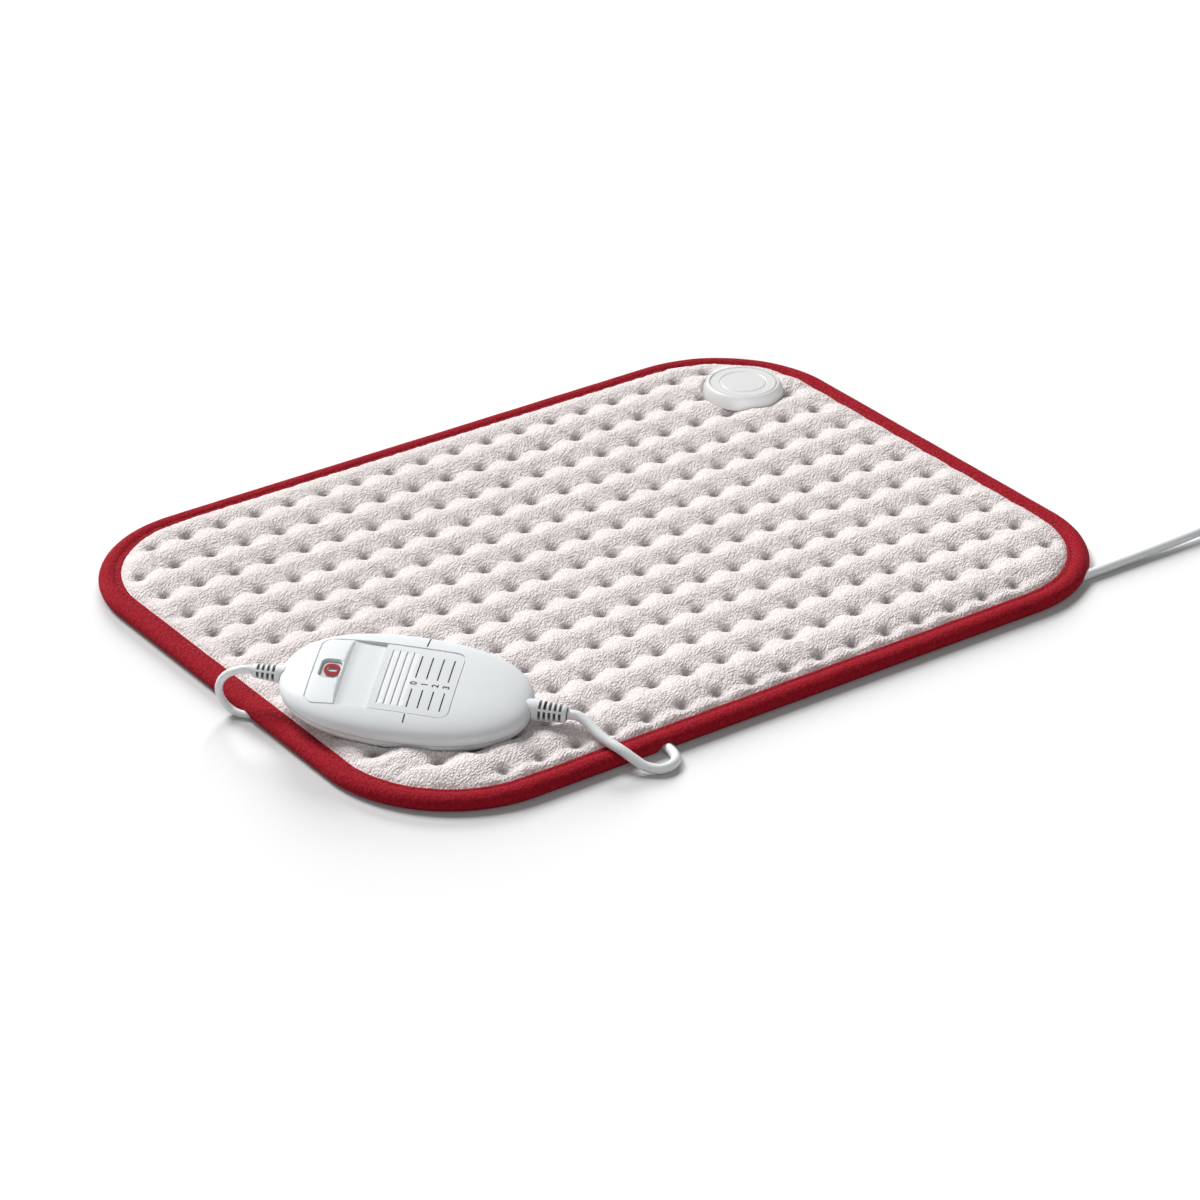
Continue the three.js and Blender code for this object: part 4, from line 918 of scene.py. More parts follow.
def tube(route: Sequence[Vector], radius: float, sides: int) -> Form:
    """Draw a round tube along a route, without twist.

    Args:
        route: Points along the middle.
        radius: Radius of the tube.
        sides: Faces round it.

    Returns:
        A closed bmesh.
    """
    count = len(route)
    sides_of = [(route[max(i - 1, 0)], route[min(i + 1, count - 1)]) for i in range(count)]
    along = [(after - before).normalized() for before, after in sides_of]
    side = along[0].orthogonal().normalized()
    frames = []
    for direction in along:
        side = (side - direction * side.dot(direction)).normalized()
        frames.append((side, direction.cross(side)))

    def place(share: float, turn: float) -> Vector:
        """Give a point of the tube's wall."""
        i = round(share * (count - 1))
        angle = 2 * math.pi * turn
        first, second = frames[i]
        return route[i] + (first * math.cos(angle) + second * math.sin(angle)) * radius

    return closed(patch(count - 1, sides, place))


@dataclass
class Cords:
    """Both leads with their whole lengths, and the coil of the unseen part of the mains lead."""

    lead_diameter: float = 3.8
    mains_diameter: float = 4.8
    lead_floor: float = 1.95
    mains_floor: float = 2.45
    coil_centre: Pair = (291.0, -186.625)
    coil_outer: float = 36.625
    coil_pitch: float = 5.4
    coil_turns: int = 8
    coil_climb: float = 0.5
    coil_dip: float = 0.35
    coil_base: float = 3.85
    loop_steps: int = 72
    sides: int = 20
    lead_step: float = 1.6
    mains_step: float = 2.2
    tail_step: float = 2.0
    lead_lying: float = 2.3
    mains_lying: float = 3.2
    tunnel_reach: float = 2.2
    tunnel_room: float = 0.32
    tunnel_width: float = 0.95
    tunnel_power: int = 4
    lead: list[Vector] = field(default_factory=list)
    mains: list[Vector] = field(default_factory=list)

    def lead_points(self) -> list[Triple]:
        """Give the chosen points of the lead from the controller to the coupling."""
        z = self.lead_floor
        return [
            (-215.36, -24.66, 24.79), (-217.98, -21.91, 24.99), (-220.5, -19.4, 23.9),
            (-223.2, -16.4, 21.9), (-225.3, -13.6, 18.4), (-226.4, -12.2, 13.8),
            (-226.2, -12.6, 9.2), (-225.0, -14.8, 5.4), (-223.3, -17.8, 2.9), (-221.4, -21.4, z),
            (-217.7, -25.9, z), (-211.7, -27.8, z), (-205.7, -25.9, z), (-201.9, -20.9, z),
            (-201.2, -12.0, z), (-201.2, 39.7, z), (-201.2, 95.0, z), (-197.3, 114.6, z),
            (-186.2, 131.2, z), (-169.6, 142.3, z), (-150.0, 146.2, z), (-59.7, 146.2, z),
            (40.3, 146.2, z), (136.3, 146.2, z), (150.3, 143.6, z), (161.0, 137.2, z),
            (168.0, 130.0, z), (170.3, 122.9, z), (170.3, 119.1, z),
        ]

    def mains_points(self) -> list[Triple]:
        """Give the chosen points of the mains lead from the controller to the coil."""
        z = self.mains_floor
        return [
            (-111.46, -133.39, 16.91), (-108.15, -136.85, 16.66), (-106.6, -141.6, 15.2),
            (-105.9, -148.0, 13.0), (-104.8, -155.4, 10.9), (-102.6, -163.4, 9.3),
            (-99.8, -169.2, 6.4), (-96.6, -174.2, 3.6), (-91.4, -178.6, z), (-85.1, -178.8, z),
            (-79.8, -175.2, z), (-77.6, -169.6, z), (-76.6, -161.6, z), (-73.0, -154.4, z),
            (-65.0, -150.4, z), (-52.1, -150.0, z), (40.0, -150.0, z), (130.0, -150.0, z),
            (214.0, -150.0, z), (250.0, -150.0, 3.05), (276.0, -150.0, 3.85), (285.9, -150.0, 3.85),
        ]

    def tail_points(self) -> list[Triple]:
        """Give the chosen points of the mains lead from the coil to the plug."""
        line, top = self.coil_centre[1] + self.coil_outer, self.coil_base + self.coil_pitch
        return [
            (295.8, line, top), (299.0, line, 9.0), (306.0, line, 8.1), (312.0, line, 7.3),
            (316.1, line, 7.0),
        ]

    def coil(self) -> list[Vector]:
        """Wind two layers of turns: inwards, up in half a turn, and outwards again.

        Returns:
            Points along the coil.
        """
        wound = (self.coil_turns - self.coil_climb) / 2
        route = []
        for i in range(self.coil_turns * self.loop_steps + 1):
            turn = i / self.loop_steps
            climb = min(max((turn - wound) / self.coil_climb, 0.0), 1.0)
            inwards = min(turn, wound) - max(turn - wound - self.coil_climb, 0.0)
            dip = self.coil_dip * math.sin(math.pi * climb)
            radius = self.coil_outer - self.coil_pitch * (inwards + dip)
            angle = math.pi / 2 - 2 * math.pi * turn
            route.append(Vector((
                self.coil_centre[0] + radius * math.cos(angle),
                self.coil_centre[1] + radius * math.sin(angle),
                self.coil_base + self.coil_pitch * climb,
            )))
        return route

    def routes(self) -> None:
        """Work out both routes."""
        self.lead = smooth_route(self.lead_points(), self.lead_step)
        start = smooth_route(self.mains_points(), self.mains_step)
        tail = smooth_route(self.tail_points(), self.tail_step)
        self.mains = [*start, *self.coil(), *tail]

    def build(self) -> tuple[Piece, Piece]:
        """Make both cords as tubes.

        Returns:
            The pad's lead and the mains lead.
        """
        self.routes()
        lead = as_object(tube(self.lead, self.lead_diameter / 2, self.sides), "pad_lead_cord")
        dress(lead, CORD_JACKET, "cord", "pad_lead", crease=60)
        mains = as_object(tube(self.mains, self.mains_diameter / 2, self.sides), "mains_lead_cord")
        dress(mains, CORD_JACKET, "cord", "mains_lead", "mains_coil", "mains_tail", crease=60)
        return lead, mains

    def declare(self, lead: Piece, mains: Piece) -> None:
        """Work out both cords' lengths and points in metres, and keep neither.

        Args:
            lead: The pad's lead; not used.
            mains: The mains lead; not used.
        """
        length_of(self.lead) * MM
        [p * MM for p in self.lead]
        length_of(self.mains) * MM
        [p * MM for p in self.mains]

    def tunnel(self) -> Level:
        """Work out how far cloth lifts over the cords on the floor.

        Returns:
            A function that gives the lift at a place.
        """
        low = [(p, self.lead_diameter) for p in self.lead if p.z < self.lead_lying]
        low += [(p, self.mains_diameter) for p in self.mains if p.z < self.mains_lying]
        tree = flat_tree([point.xy for point, _ in low])

        def lift(x: float, y: float) -> float:
            """Give the lift at a place in millimetres."""
            _, i, away = tree.find((x, y, 0.0))
            size = low[i][1]
            if away > self.tunnel_reach * size:
                return 0.0
            near = math.exp(-((away / (self.tunnel_width * size)) ** self.tunnel_power))
            return (size + self.tunnel_room) * near

        return lift


# Controller frame and shape


@dataclass
class Pebble:
    """The controller's flat pebble and its place on the pad."""

    centre: Triple = (-164.1, -78.3, 20.9)
    yaw: float = -46.3
    pitch: float = 3.0
    lean: float = 12.5
    half_length: float = 60.0
    half_width: float = 35.0
    top: float = 9.0
    bottom: float = 11.5
    plan_power: float = 2.3
    top_power: float = 3.0
    bottom_power: float = 2.6
    passes: int = 6

    def place(self) -> Matrix:
        """Give the controller's placing on the pad, in millimetres."""
        turn = Matrix.Rotation(math.radians(self.yaw), 4, "Z")
        tip = Matrix.Rotation(math.radians(self.pitch), 4, "Y")
        roll = Matrix.Rotation(math.radians(self.lean), 4, "X")
        return Matrix.Translation(self.centre) @ turn @ tip @ roll

    def height(self, u: float, w: float, inset: float = 0.0) -> float:
        """Give the upper surface's height above the seam.

        Args:
            u: Place along the controller.
            w: Place across it.
            inset: How far the surface is drawn in.

        Returns:
            The height, 0 past the rim.
        """
        power = self.plan_power
        along, across = abs(u) / (self.half_length - inset), abs(w) / (self.half_width - inset)
        rho = (along**power + across**power) ** (1 / power)
        if rho >= 1.0:
            return 0.0
        return (self.top - inset) * (1 - rho**self.top_power) ** (1 / self.top_power)

    def body(self, inset: float, around: int, rings: int) -> Form:
        """Make the whole pebble.

        Args:
            inset: How far its surface is drawn in.
            around: Faces round it.
            rings: Faces from top to bottom.

        Returns:
            A closed bmesh in the controller's own frame.
        """
        bm = bmesh.new()
        bmesh.ops.create_uvsphere(bm, u_segments=around, v_segments=rings, radius=1.0)
        for vert in bm.verts:
            x, y, z = vert.co
            level = max(-1.0, min(1.0, z))
            out = math.sqrt(max(0.0, 1.0 - level * level))
            angle = math.atan2(y, x)
            power = self.top_power if level >= 0 else self.bottom_power
            tall = self.top - inset if level >= 0 else -(self.bottom - inset)
            rho = out ** (2 / power)
            c, s = math.cos(angle), math.sin(angle)
            vert.co = (
                bent(c, 2 / self.plan_power) * rho * (self.half_length - inset),
                bent(s, 2 / self.plan_power) * rho * (self.half_width - inset),
                tall * abs(level) ** (2 / power),
            )
        return bm

    def under(self, x: Array, y: Array) -> Array:
        """Give the height of the controller's underside above places of the pad.

        Args:
            x: Places along the pad.
            y: Places across the pad.

        Returns:
            Heights, very large where the controller isn't above.
        """
        turn = np.array(self.place())[:3, :3]
        z = np.full_like(x, self.centre[2] - self.bottom)
        inside = np.zeros_like(x, bool)
        for _ in range(self.passes):
            from_centre = np.stack([x - self.centre[0], y - self.centre[1], z - self.centre[2]])
            u, w, n = np.tensordot(turn.T, from_centre, 1)
            out = (np.abs(u) / self.half_length) ** self.plan_power
            out += (np.abs(w) / self.half_width) ** self.plan_power
            rho = np.minimum(out ** (1 / self.plan_power), 1.0)
            inside = out < 1.0
            floor = -self.bottom * (1 - rho**self.bottom_power) ** (1 / self.bottom_power)
            z = z + (floor - n) / turn[2, 2]
        return np.where(inside, z, FAR)


# Pad


@dataclass
class PadShape:
    """The outline that the covers and the binding share."""

    length: float = 440.0
    width: float = 330.0
    corner: float = 70.0
    binding: float = 11.5
    lap: float = 5.0
    sliver: float = 0.15

    @property
    def sewn_edge(self) -> float:
        """Give how far in the covers end, under the binding."""
        return self.binding - self.lap

    def inset(self, x: Array, y: Array) -> Array:
        """Give the distance from places inwards of the pad's edge.

        Args:
            x: Places along the pad.
            y: Places across the pad.

        Returns:
            Distances, negative outside.
        """
        qx = np.abs(x) - (self.length / 2 - self.corner)
        qy = np.abs(y) - (self.width / 2 - self.corner)
        outside = np.hypot(np.maximum(qx, 0.0), np.maximum(qy, 0.0))
        inside = np.minimum(np.maximum(qx, qy), 0.0)
        return self.corner - outside - inside

    def perimeter(self, step: float) -> list[tuple[Vector, Vector, bool]]:
        """Walk round the edge.

        Args:
            step: Longest distance between two places.

        Returns:
            Places on the edge, the direction outwards there, and whether it is a corner.
        """
        a, b, r = self.length / 2 - self.corner, self.width / 2 - self.corner, self.corner
        places = []
        runs = (
            (a, -b, -90.0, 2 * b), (a, b, 0.0, 2 * a), (-a, b, 90.0, 2 * b), (-a, -b, 180.0, 2 * a),
        )
        for x, y, start, straight in runs:
            turns = math.ceil(r * math.pi / 2 / step)
            for i in range(turns):
                angle = math.radians(start + 90.0 * i / turns)
                out = Vector((math.cos(angle), math.sin(angle), 0.0))
                places.append((Vector((x, y, 0.0)) + out * r, out, True))
            angle = math.radians(start + 90.0)
            out = Vector((math.cos(angle), math.sin(angle), 0.0))
            ahead = Vector((-out.y, out.x, 0.0))
            count = math.ceil(straight / step)
            for i in range(count):
                away = ahead * (straight * i / count)
                places.append((Vector((x, y, 0.0)) + out * r + away, out, False))
        return places

    def trimmed(self, pitch_x: float, pitch_y: float, edge: float) -> Form:
        """Lay a grid over the pad and trim it to an inner outline.

        Args:
            pitch_x: Size of a face along the pad.
            pitch_y: Size of a face across it.
            edge: Distance of the outline from the pad's edge.

        Returns:
            A flat bmesh with its border on that outline.
        """
        columns = 2 * math.ceil(self.length / 2 / pitch_x)
        rows = 2 * math.ceil(self.width / 2 / pitch_y)
        half_x, half_y = columns * pitch_x / 2, rows * pitch_y / 2

        def place(s: float, t: float) -> Vector:
            """Give a point of the grid."""
            return Vector(((2 * s - 1) * half_x, (2 * t - 1) * half_y, 0.0))

        bm = patch(columns, rows, place)
        bm.verts.ensure_lookup_table()
        co = np.array([v.co for v in bm.verts])
        keep = self.inset(co[:, 0], co[:, 1]) > edge + self.sliver * min(pitch_x, pitch_y)
        bmesh.ops.delete(bm, geom=[v for v, k in zip(bm.verts, keep) if not k], context="VERTS")
        thin = [v for v in bm.verts if len(v.link_faces) < 2]
        bmesh.ops.delete(bm, geom=thin, context="VERTS")
        for vert in bm.verts:
            if vert.is_boundary:
                vert.co.xy = self.on_outline(vert.co.x, vert.co.y, edge)
        return bm

    def on_outline(self, x: float, y: float, edge: float) -> Pair:
        """Give the nearest place on an inner outline.

        Args:
            x: Place along the pad.
            y: Place across the pad.
            edge: Distance of the outline from the pad's edge.

        Returns:
            The place.
        """
        a, b = self.length / 2 - self.corner, self.width / 2 - self.corner
        cx, cy = min(max(x, -a), a), min(max(y, -b), b)
        away = math.hypot(x - cx, y - cy)
        reach = (self.corner - edge) / max(away, TINY)
        return cx + (x - cx) * reach, cy + (y - cy) * reach


CLOTH_SETTINGS = {
    "quality": 5, "mass": 0.1, "tension_stiffness": 10.0, "compression_stiffness": 10.0,
    "shear_stiffness": 5.0, "bending_stiffness": 0.4, "use_pressure": True,
    "uniform_pressure_force": 1.0, "shrink_min": -0.02,
}


@dataclass
class FleeceCover:
    """The quilted fleece on top: ridges between rows of sewn tufts."""

    shape: PadShape
    pebble: Pebble
    columns: int = 20
    rows: int = 13
    pitch_x: float = 20.35
    pitch_y: float = 23.45
    shift: Pair = (-3.3, -5.0)
    steps_x: int = 24
    steps_y: int = 28
    cloth_every: int = 4
    base: float = 5.75
    seam: float = 6.35
    tuft: float = 5.95
    saddle: float = 10.1
    crest: float = 11.9
    ridge_power: float = 0.9
    scallop: float = 0.3
    pit: float = 3.0
    dimple: float = 7.4
    pit_share: float = 0.5
    # Reach of the painted shade in the pits, in millimetres
    pit_shade: float = 3.0
    roll: float = 15.0
    edge_share: float = 0.27
    edge_reach: float = 0.9
    tuft_clear: float = 5.0
    coupling: Pair = (170.3, 102.8)
    coupling_seat: float = 8.5
    coupling_radius: float = 21.6
    comb: float = 29.0
    clump: Pair = (2.3, 1.4)
    clump_rise: float = 0.22
    fine_scale: float = 2.1
    fine_share: float = 0.6
    broad_size: float = 8.0
    broad_rise: float = 0.1
    lap_fall: float = 0.15
    lap_reach: float = 2.0
    coupling_bank: float = 1.6
    controller_gap: float = 0.45
    held_tuft: float = 2.2
    held_edge: float = 2.0
    held_coupling: float = 3.0
    held_controller: float = 6.0
    cloth_frames: int = 16
    cloth_most: float = 0.3
    grid_snap: float = 0.02
    pile_start: float = 0.5

    def tufts(self) -> list[Pair]:
        """Give the places of the sewn tufts.

        Returns:
            Places, without those too near the binding.
        """
        places = []
        for i in range(self.columns):
            for j in range(self.rows):
                x = (i - (self.columns - 1) / 2) * self.pitch_x + self.shift[0]
                y = (j - (self.rows - 1) / 2) * self.pitch_y + self.shift[1]
                inset = float(self.shape.inset(np.array(x), np.array(y)))
                if inset - self.shape.binding > self.tuft_clear:
                    places.append((x, y))
        return places

    def nearest(self, x: Array, y: Array) -> tuple[Array, Array]:
        """Find the sewn tuft next to each place.

        Args:
            x: Places along the pad.
            y: Places across the pad.

        Returns:
            How far off the tuft is along the pad and across it, very far where there is none.
        """
        x, y = x - self.shift[0], y - self.shift[1]
        tuft_x = (np.round(x / self.pitch_x + 0.5) - 0.5) * self.pitch_x
        tuft_y = np.round(y / self.pitch_y) * self.pitch_y
        inset = self.shape.inset(tuft_x + self.shift[0], tuft_y + self.shift[1])
        none = np.where(inset - self.shape.binding > self.tuft_clear, 0.0, FAR)
        return x - tuft_x + none, y - tuft_y + none

    def height(self, x: Array, y: Array) -> Array:
        """Give the height of the cover before its pile.

        Args:
            x: Places along the pad.
            y: Places across the pad.

        Returns:
            Heights above the floor.
        """
        along = (x - self.shift[0]) / self.pitch_x + 0.5
        across = (y - self.shift[1]) / self.pitch_y
        ridge = np.abs(np.sin(np.pi * across)) ** self.ridge_power
        crest = self.crest - self.scallop * np.cos(2 * np.pi * along)
        quilt = self.saddle + (crest - self.saddle) * ridge
        away = np.hypot(*self.nearest(x, y))
        drawn = self.pit_share * np.exp(-((away / self.pit) ** 2))
        drawn += (1 - self.pit_share) * np.exp(-((away / self.dimple) ** 2))
        quilt = quilt - (self.saddle - self.tuft) * drawn
        inwards = self.shape.inset(x, y) - self.shape.binding
        share = np.sin(np.clip(inwards / self.roll, 0.0, 1.0) * np.pi / 2) * (1 - self.edge_share)
        share += self.edge_share * (1.0 - np.exp(-np.maximum(inwards, 0.0) / self.edge_reach))
        z = self.seam + (quilt - self.seam) * share
        lap = self.seam - self.lap_fall * np.clip(-inwards, 0.0, self.lap_reach)
        z = np.where(inwards < 0.0, lap, z)
        away = np.hypot(x - self.coupling[0], y - self.coupling[1])
        bank = self.coupling_bank * np.maximum(away - self.coupling_radius, 0.0)
        z = np.minimum(z, self.coupling_seat + bank)
        return np.minimum(z, self.pebble.under(x, y) - self.controller_gap)

    def billow(self, x: Array, y: Array) -> Array:
        """Let a coarse copy of the cloth billow between its tufts.

        Args:
            x: Places along the pad.
            y: Places across the pad.

        Returns:
            How far the cloth moves at these places, in millimetres.
        """
        cell = (
            self.pitch_x * self.cloth_every / self.steps_x,
            self.pitch_y * self.cloth_every / self.steps_y,
        )
        bm = self.shape.trimmed(*cell, self.shape.sewn_edge)
        flat = np.array([v.co for v in bm.verts])
        flat[:, 2] = self.height(flat[:, 0], flat[:, 1])
        for vert, z in zip(bm.verts, flat[:, 2]):
            vert.co.z = z
        bmesh.ops.recalc_face_normals(bm, faces=bm.faces[:])
        cloth = as_object(bm, "billowing_cloth")
        self.simulate(cloth, self.held(flat))
        moved = points_of(cloth) - flat
        bpy.data.objects.remove(cloth)
        far = np.linalg.norm(moved, axis=1, keepdims=True)
        moved *= np.minimum(1.0, self.cloth_most / np.maximum(far, TINY))
        return self.between(flat, moved, cell, x, y)

    def held(self, co: Array) -> list[int]:
        """Find the points of the cloth that are sewn, bound or pressed down.

        Args:
            co: Points of the cloth.

        Returns:
            Their numbers.
        """
        away = np.full(len(co), FAR)
        for x, y in self.tufts():
            away = np.minimum(away, np.hypot(co[:, 0] - x, co[:, 1] - y))
        edge = self.shape.inset(co[:, 0], co[:, 1]) - self.shape.binding < self.held_edge
        out = np.hypot(co[:, 0] - self.coupling[0], co[:, 1] - self.coupling[1])
        cap = out < self.coupling_radius + self.held_coupling
        bed = self.pebble.under(co[:, 0], co[:, 1]) < co[:, 2] + self.held_controller
        return np.nonzero((away < self.held_tuft) | edge | cap | bed)[0].tolist()

    def simulate(self, cloth: Piece, held: list[int]) -> None:
        """Blow the cloth up a little and keep the result.

        Args:
            cloth: The coarse cloth.
            held: Numbers of the points that stay.
        """
        group = cloth.vertex_groups.new(name="held")
        group.add(held, 1.0, "REPLACE")
        step = cloth.modifiers.new("Billow", "CLOTH")
        for name, value in CLOTH_SETTINGS.items():
            setattr(step.settings, name, value)
        step.settings.vertex_group_mass = group.name
        step.settings.effector_weights.gravity = 0.0
        step.collision_settings.use_collision = False
        step.point_cache.frame_end = self.cloth_frames
        scene = bpy.context.scene
        for number in range(1, self.cloth_frames + 1):
            scene.frame_set(number)
        bake(cloth)
        scene.frame_set(1)

    def between(self, co: Array, moved: Array, cell: Pair,
                x: Array, y: Array) -> Array:
        """Read the coarse cloth's movement at other places.

        Args:
            co: Points of the coarse cloth.
            moved: How far each of them moved.
            cell: Sizes of its faces.
            x: Places along the pad.
            y: Places across the pad.

        Returns:
            The movement at the places.
        """
        sizes = (self.shape.length, self.shape.width)
        half = [math.ceil(size / 2 / step) + 2 for size, step in zip(sizes, cell)]
        table = np.zeros((2 * half[0] + 1, 2 * half[1] + 1, 3))
        spots = co[:, :2] / np.array(cell)
        on_grid = np.abs(spots - np.round(spots)).max(axis=1) < self.grid_snap
        i, j = (np.round(spots[on_grid]).astype(int) + np.array(half)).T
        table[i, j] = moved[on_grid]
        fx, fy = x / cell[0] + half[0], y / cell[1] + half[1]
        i, j = np.floor(fx).astype(int), np.floor(fy).astype(int)
        s, t = (fx - i)[:, None], (fy - j)[:, None]
        low = table[i, j] * (1 - s) + table[i + 1, j] * s
        high = table[i, j + 1] * (1 - s) + table[i + 1, j + 1] * s
        return low * (1 - t) + high * t

    def pile(self, obj: Piece) -> None:
        """Raise the pile in small clumps that lie the way the cloth was brushed.

        Args:
            obj: The smooth cover.
        """
        co = points_of(obj)
        inwards = self.shape.inset(co[:, 0], co[:, 1]) - self.shape.binding
        share = np.clip(inwards + self.pile_start, 0.0, 1.0)
        angle = math.radians(self.comb)
        along = co[:, 0] * math.cos(angle) + co[:, 1] * math.sin(angle)
        across = co[:, 1] * math.cos(angle) - co[:, 0] * math.sin(angle)
        normals = [v.normal.copy() for v in obj.data.vertices]
        for i, vert in enumerate(obj.data.vertices):
            if share[i] == 0.0:
                continue
            at = Vector((along[i] / self.clump[0], across[i] / self.clump[1], 0.7))
            clumps = noise.noise(at) + self.fine_share * noise.noise(at * self.fine_scale)
            broad = unevenness(co[i, 0], co[i, 1], self.broad_size, layer=2.0)
            rise = self.clump_rise * clumps + self.broad_rise * broad
            vert.co += normals[i] * (rise * share[i] * MM)

    def build(self) -> None:
        """Make the cover."""
        face = (self.pitch_x / self.steps_x, self.pitch_y / self.steps_y)
        bm = self.shape.trimmed(*face, self.shape.sewn_edge)
        co = np.array([v.co for v in bm.verts])
        co[:, 2] = self.height(co[:, 0], co[:, 1])
        co += self.billow(co[:, 0], co[:, 1])
        for vert, point in zip(bm.verts, co):
            vert.co = point
        bmesh.ops.recalc_face_normals(bm, faces=bm.faces[:])
        obj = as_object(bm, "fleece_cover")
        self.pile(obj)
        bm = bmesh.new()
        bm.from_mesh(obj.data)
        rim = [e for e in bm.edges if e.is_boundary]
        level_off(bmesh.ops.extrude_edge_only(bm, edges=rim), self.base * MM)
        closed(bm)
        bm.to_mesh(obj.data)
        bm.free()
        # Painted shade: mark nearness to a tuft, for the darkening of the pits
        co = points_of(obj)
        away = np.hypot(*self.nearest(co[:, 0], co[:, 1]))
        mark(obj, FLEECE.pit_shade_attribute, np.exp(-((away / self.pit_shade) ** 2)))
        dress(obj, FLEECE, "fleece", "pad_top_cover", crease=80)


@dataclass
class UnderCover:
    """The flat cloth below, which lies over the cords and shows where the tufts are sewn."""

    shape: PadShape
    fleece: FleeceCover
    tunnel: Level
    face: float = 1.9
    top: float = 5.4
    pull: float = 0.8
    pull_reach: float = 3.2
    level: float = 0.12
    wave_size: float = 9.0
    wave_rise: float = 0.12
    lap_level: float = 0.95
    lap_room: float = 0.3
    base_radius: float = 16.3
    base_room: float = 5.2

    def build(self) -> None:
        """Make the under cover."""
        bm = self.shape.trimmed(self.face, self.face, self.shape.sewn_edge)
        rim = [e for e in bm.edges if e.is_boundary]
        tree = flat_tree(self.fleece.tufts())
        inset = self.shape.inset(*np.array([v.co[:2] for v in bm.verts]).T)
        for vert, inwards in zip(bm.verts, inset):
            x, y = vert.co.xy
            away = tree.find((x, y, 0.0))[2]
            sewn = self.pull * math.exp(-((away / self.pull_reach) ** 2))
            wave = self.wave_rise * unevenness(x, y, self.wave_size, layer=4.0)
            lap = self.lap_level if inwards < self.shape.binding + self.lap_room else 0.0
            vert.co.z = max(self.level + wave, sewn, lap, self.tunnel(x, y))
            self.make_room(vert)
        level_off(bmesh.ops.extrude_edge_only(bm, edges=rim), self.top)
        obj = as_object(closed(bm), "under_cover")
        dress(obj, UNDER_CLOTH, "under_cloth", "pad_bottom_cover", crease=60)

    def make_room(self, vert: bmesh.types.BMVert) -> None:
        """Open the cloth round the coupling's base.

        Args:
            vert: A point of the cloth's underside.
        """
        middle = Vector((*self.fleece.coupling, vert.co.z))
        out = vert.co - middle
        if abs(out.length - self.base_radius) < self.face / 2:
            vert.co = middle + out.normalized() * self.base_radius
        elif out.length < self.base_radius:
            vert.co.z = self.base_room


@dataclass
class EdgeBinding:
    """The red strip sewn round the edge: a full roll outside and a thin lip inside its seam."""

    shape: PadShape
    tunnel: Level
    step: float = 1.8
    profile_steps: int = 44
    profile_step: float = 0.5
    crease: float = 8.9
    crease_reach: float = 2.0
    upper: Pair = (3.0, 6.0)
    sag_size: float = 17.0
    sag_rise: float = 0.22
    swell: float = 0.18
    swell_reach: float = 6.0
    corner_pucker: Pair = (2.1, 0.16)
    straight_pucker: Pair = (3.4, 0.05)
    cord_level: float = 5.3
    stitch_pitch: float = 4.2
    stitch_size: Triple = (2.9, 0.55, 0.5)
    stitch_level: float = 6.5
    outline: Profile = (
        (11.5, 6.6), (10.7, 6.95), (9.8, 6.85), (8.9, 6.3), (8.1, 7.0), (6.7, 7.55), (4.9, 7.7),
        (3.1, 7.35), (1.5, 6.45), (0.45, 5.0), (0.05, 3.5), (0.4, 2.0), (1.5, 0.8), (3.2, 0.15),
        (6.0, 0.06), (9.0, 0.06), (11.4, 0.08), (11.7, 0.4), (11.3, 0.75), (8.4, 0.8), (6.5, 1.5),
        (6.0, 3.3), (6.4, 5.5), (7.7, 5.95), (10.0, 6.0), (11.4, 6.1),
    )

    def section(self) -> list[Vector]:
        """Round off the profile.

        Returns:
            Points of the closed profile, distance inwards and height.
        """
        points = [Vector((s, z, 0.0)) for s, z in self.outline]
        even = smooth_route([*points, points[0]], self.profile_step)
        lengths = np.cumsum([0.0] + [(b - a).length for a, b in zip(even, even[1:])])
        wanted = np.linspace(0.0, lengths[-1], self.profile_steps + 1)
        xs = np.interp(wanted, lengths, [p.x for p in even])
        zs = np.interp(wanted, lengths, [p.y for p in even])
        return [Vector((x, z, 0.0)) for x, z in zip(xs, zs)]

    def build(self) -> None:
        """Make the binding."""
        places = self.shape.perimeter(self.step)
        section = self.section()
        count = len(places)

        def at(share: float, turn: float) -> Vector:
            """Give a point of the binding's cloth."""
            i = round(share * count) % count
            edge, out, corner = places[i]
            s, z, _ = section[round(turn * self.profile_steps) % self.profile_steps]
            low, high = self.upper
            upper = min(max((z - low) / (high - low), 0.0), 1.0)
            sag = unevenness(edge.x, edge.y, self.sag_size, layer=0.5)
            length, rise = self.corner_pucker if corner else self.straight_pucker
            pucker = math.sin(i * self.step / length) * rise
            inner = math.exp(-(((s - self.crease) / self.crease_reach) ** 2))
            z += upper * (self.sag_rise * sag + pucker * inner)
            if s < self.swell_reach:
                s += upper * self.swell * sag
            spot = edge - out * s
            if z < self.cord_level:
                z = max(z, min(self.tunnel(spot.x, spot.y), self.cord_level))
            return Vector((spot.x, spot.y, z))

        obj = as_object(closed(patch(count, self.profile_steps, at)), "edge_binding_cloth")
        dress(obj, RED_PILE, "binding", "edge_binding", crease=70)
        self.stitches()

    def stitches(self) -> None:
        """Sew the row of stitches in the binding's crease."""
        bm = bmesh.new()
        for edge, out, _ in self.shape.perimeter(self.stitch_pitch):
            made = bmesh.ops.create_uvsphere(bm, u_segments=6, v_segments=5, radius=0.5)["verts"]
            turn = Matrix.Rotation(math.atan2(out.x, -out.y), 4, "Z")
            size = Matrix.Diagonal((*self.stitch_size, 1.0))
            spot = edge - out * self.crease
            place = Matrix.Translation((spot.x, spot.y, self.stitch_level)) @ turn @ size
            bmesh.ops.transform(bm, matrix=place, verts=made)
        obj = as_object(bm, "binding_stitches")
        dress(obj, RED_THREAD, "binding", crease=80)


# Coupling


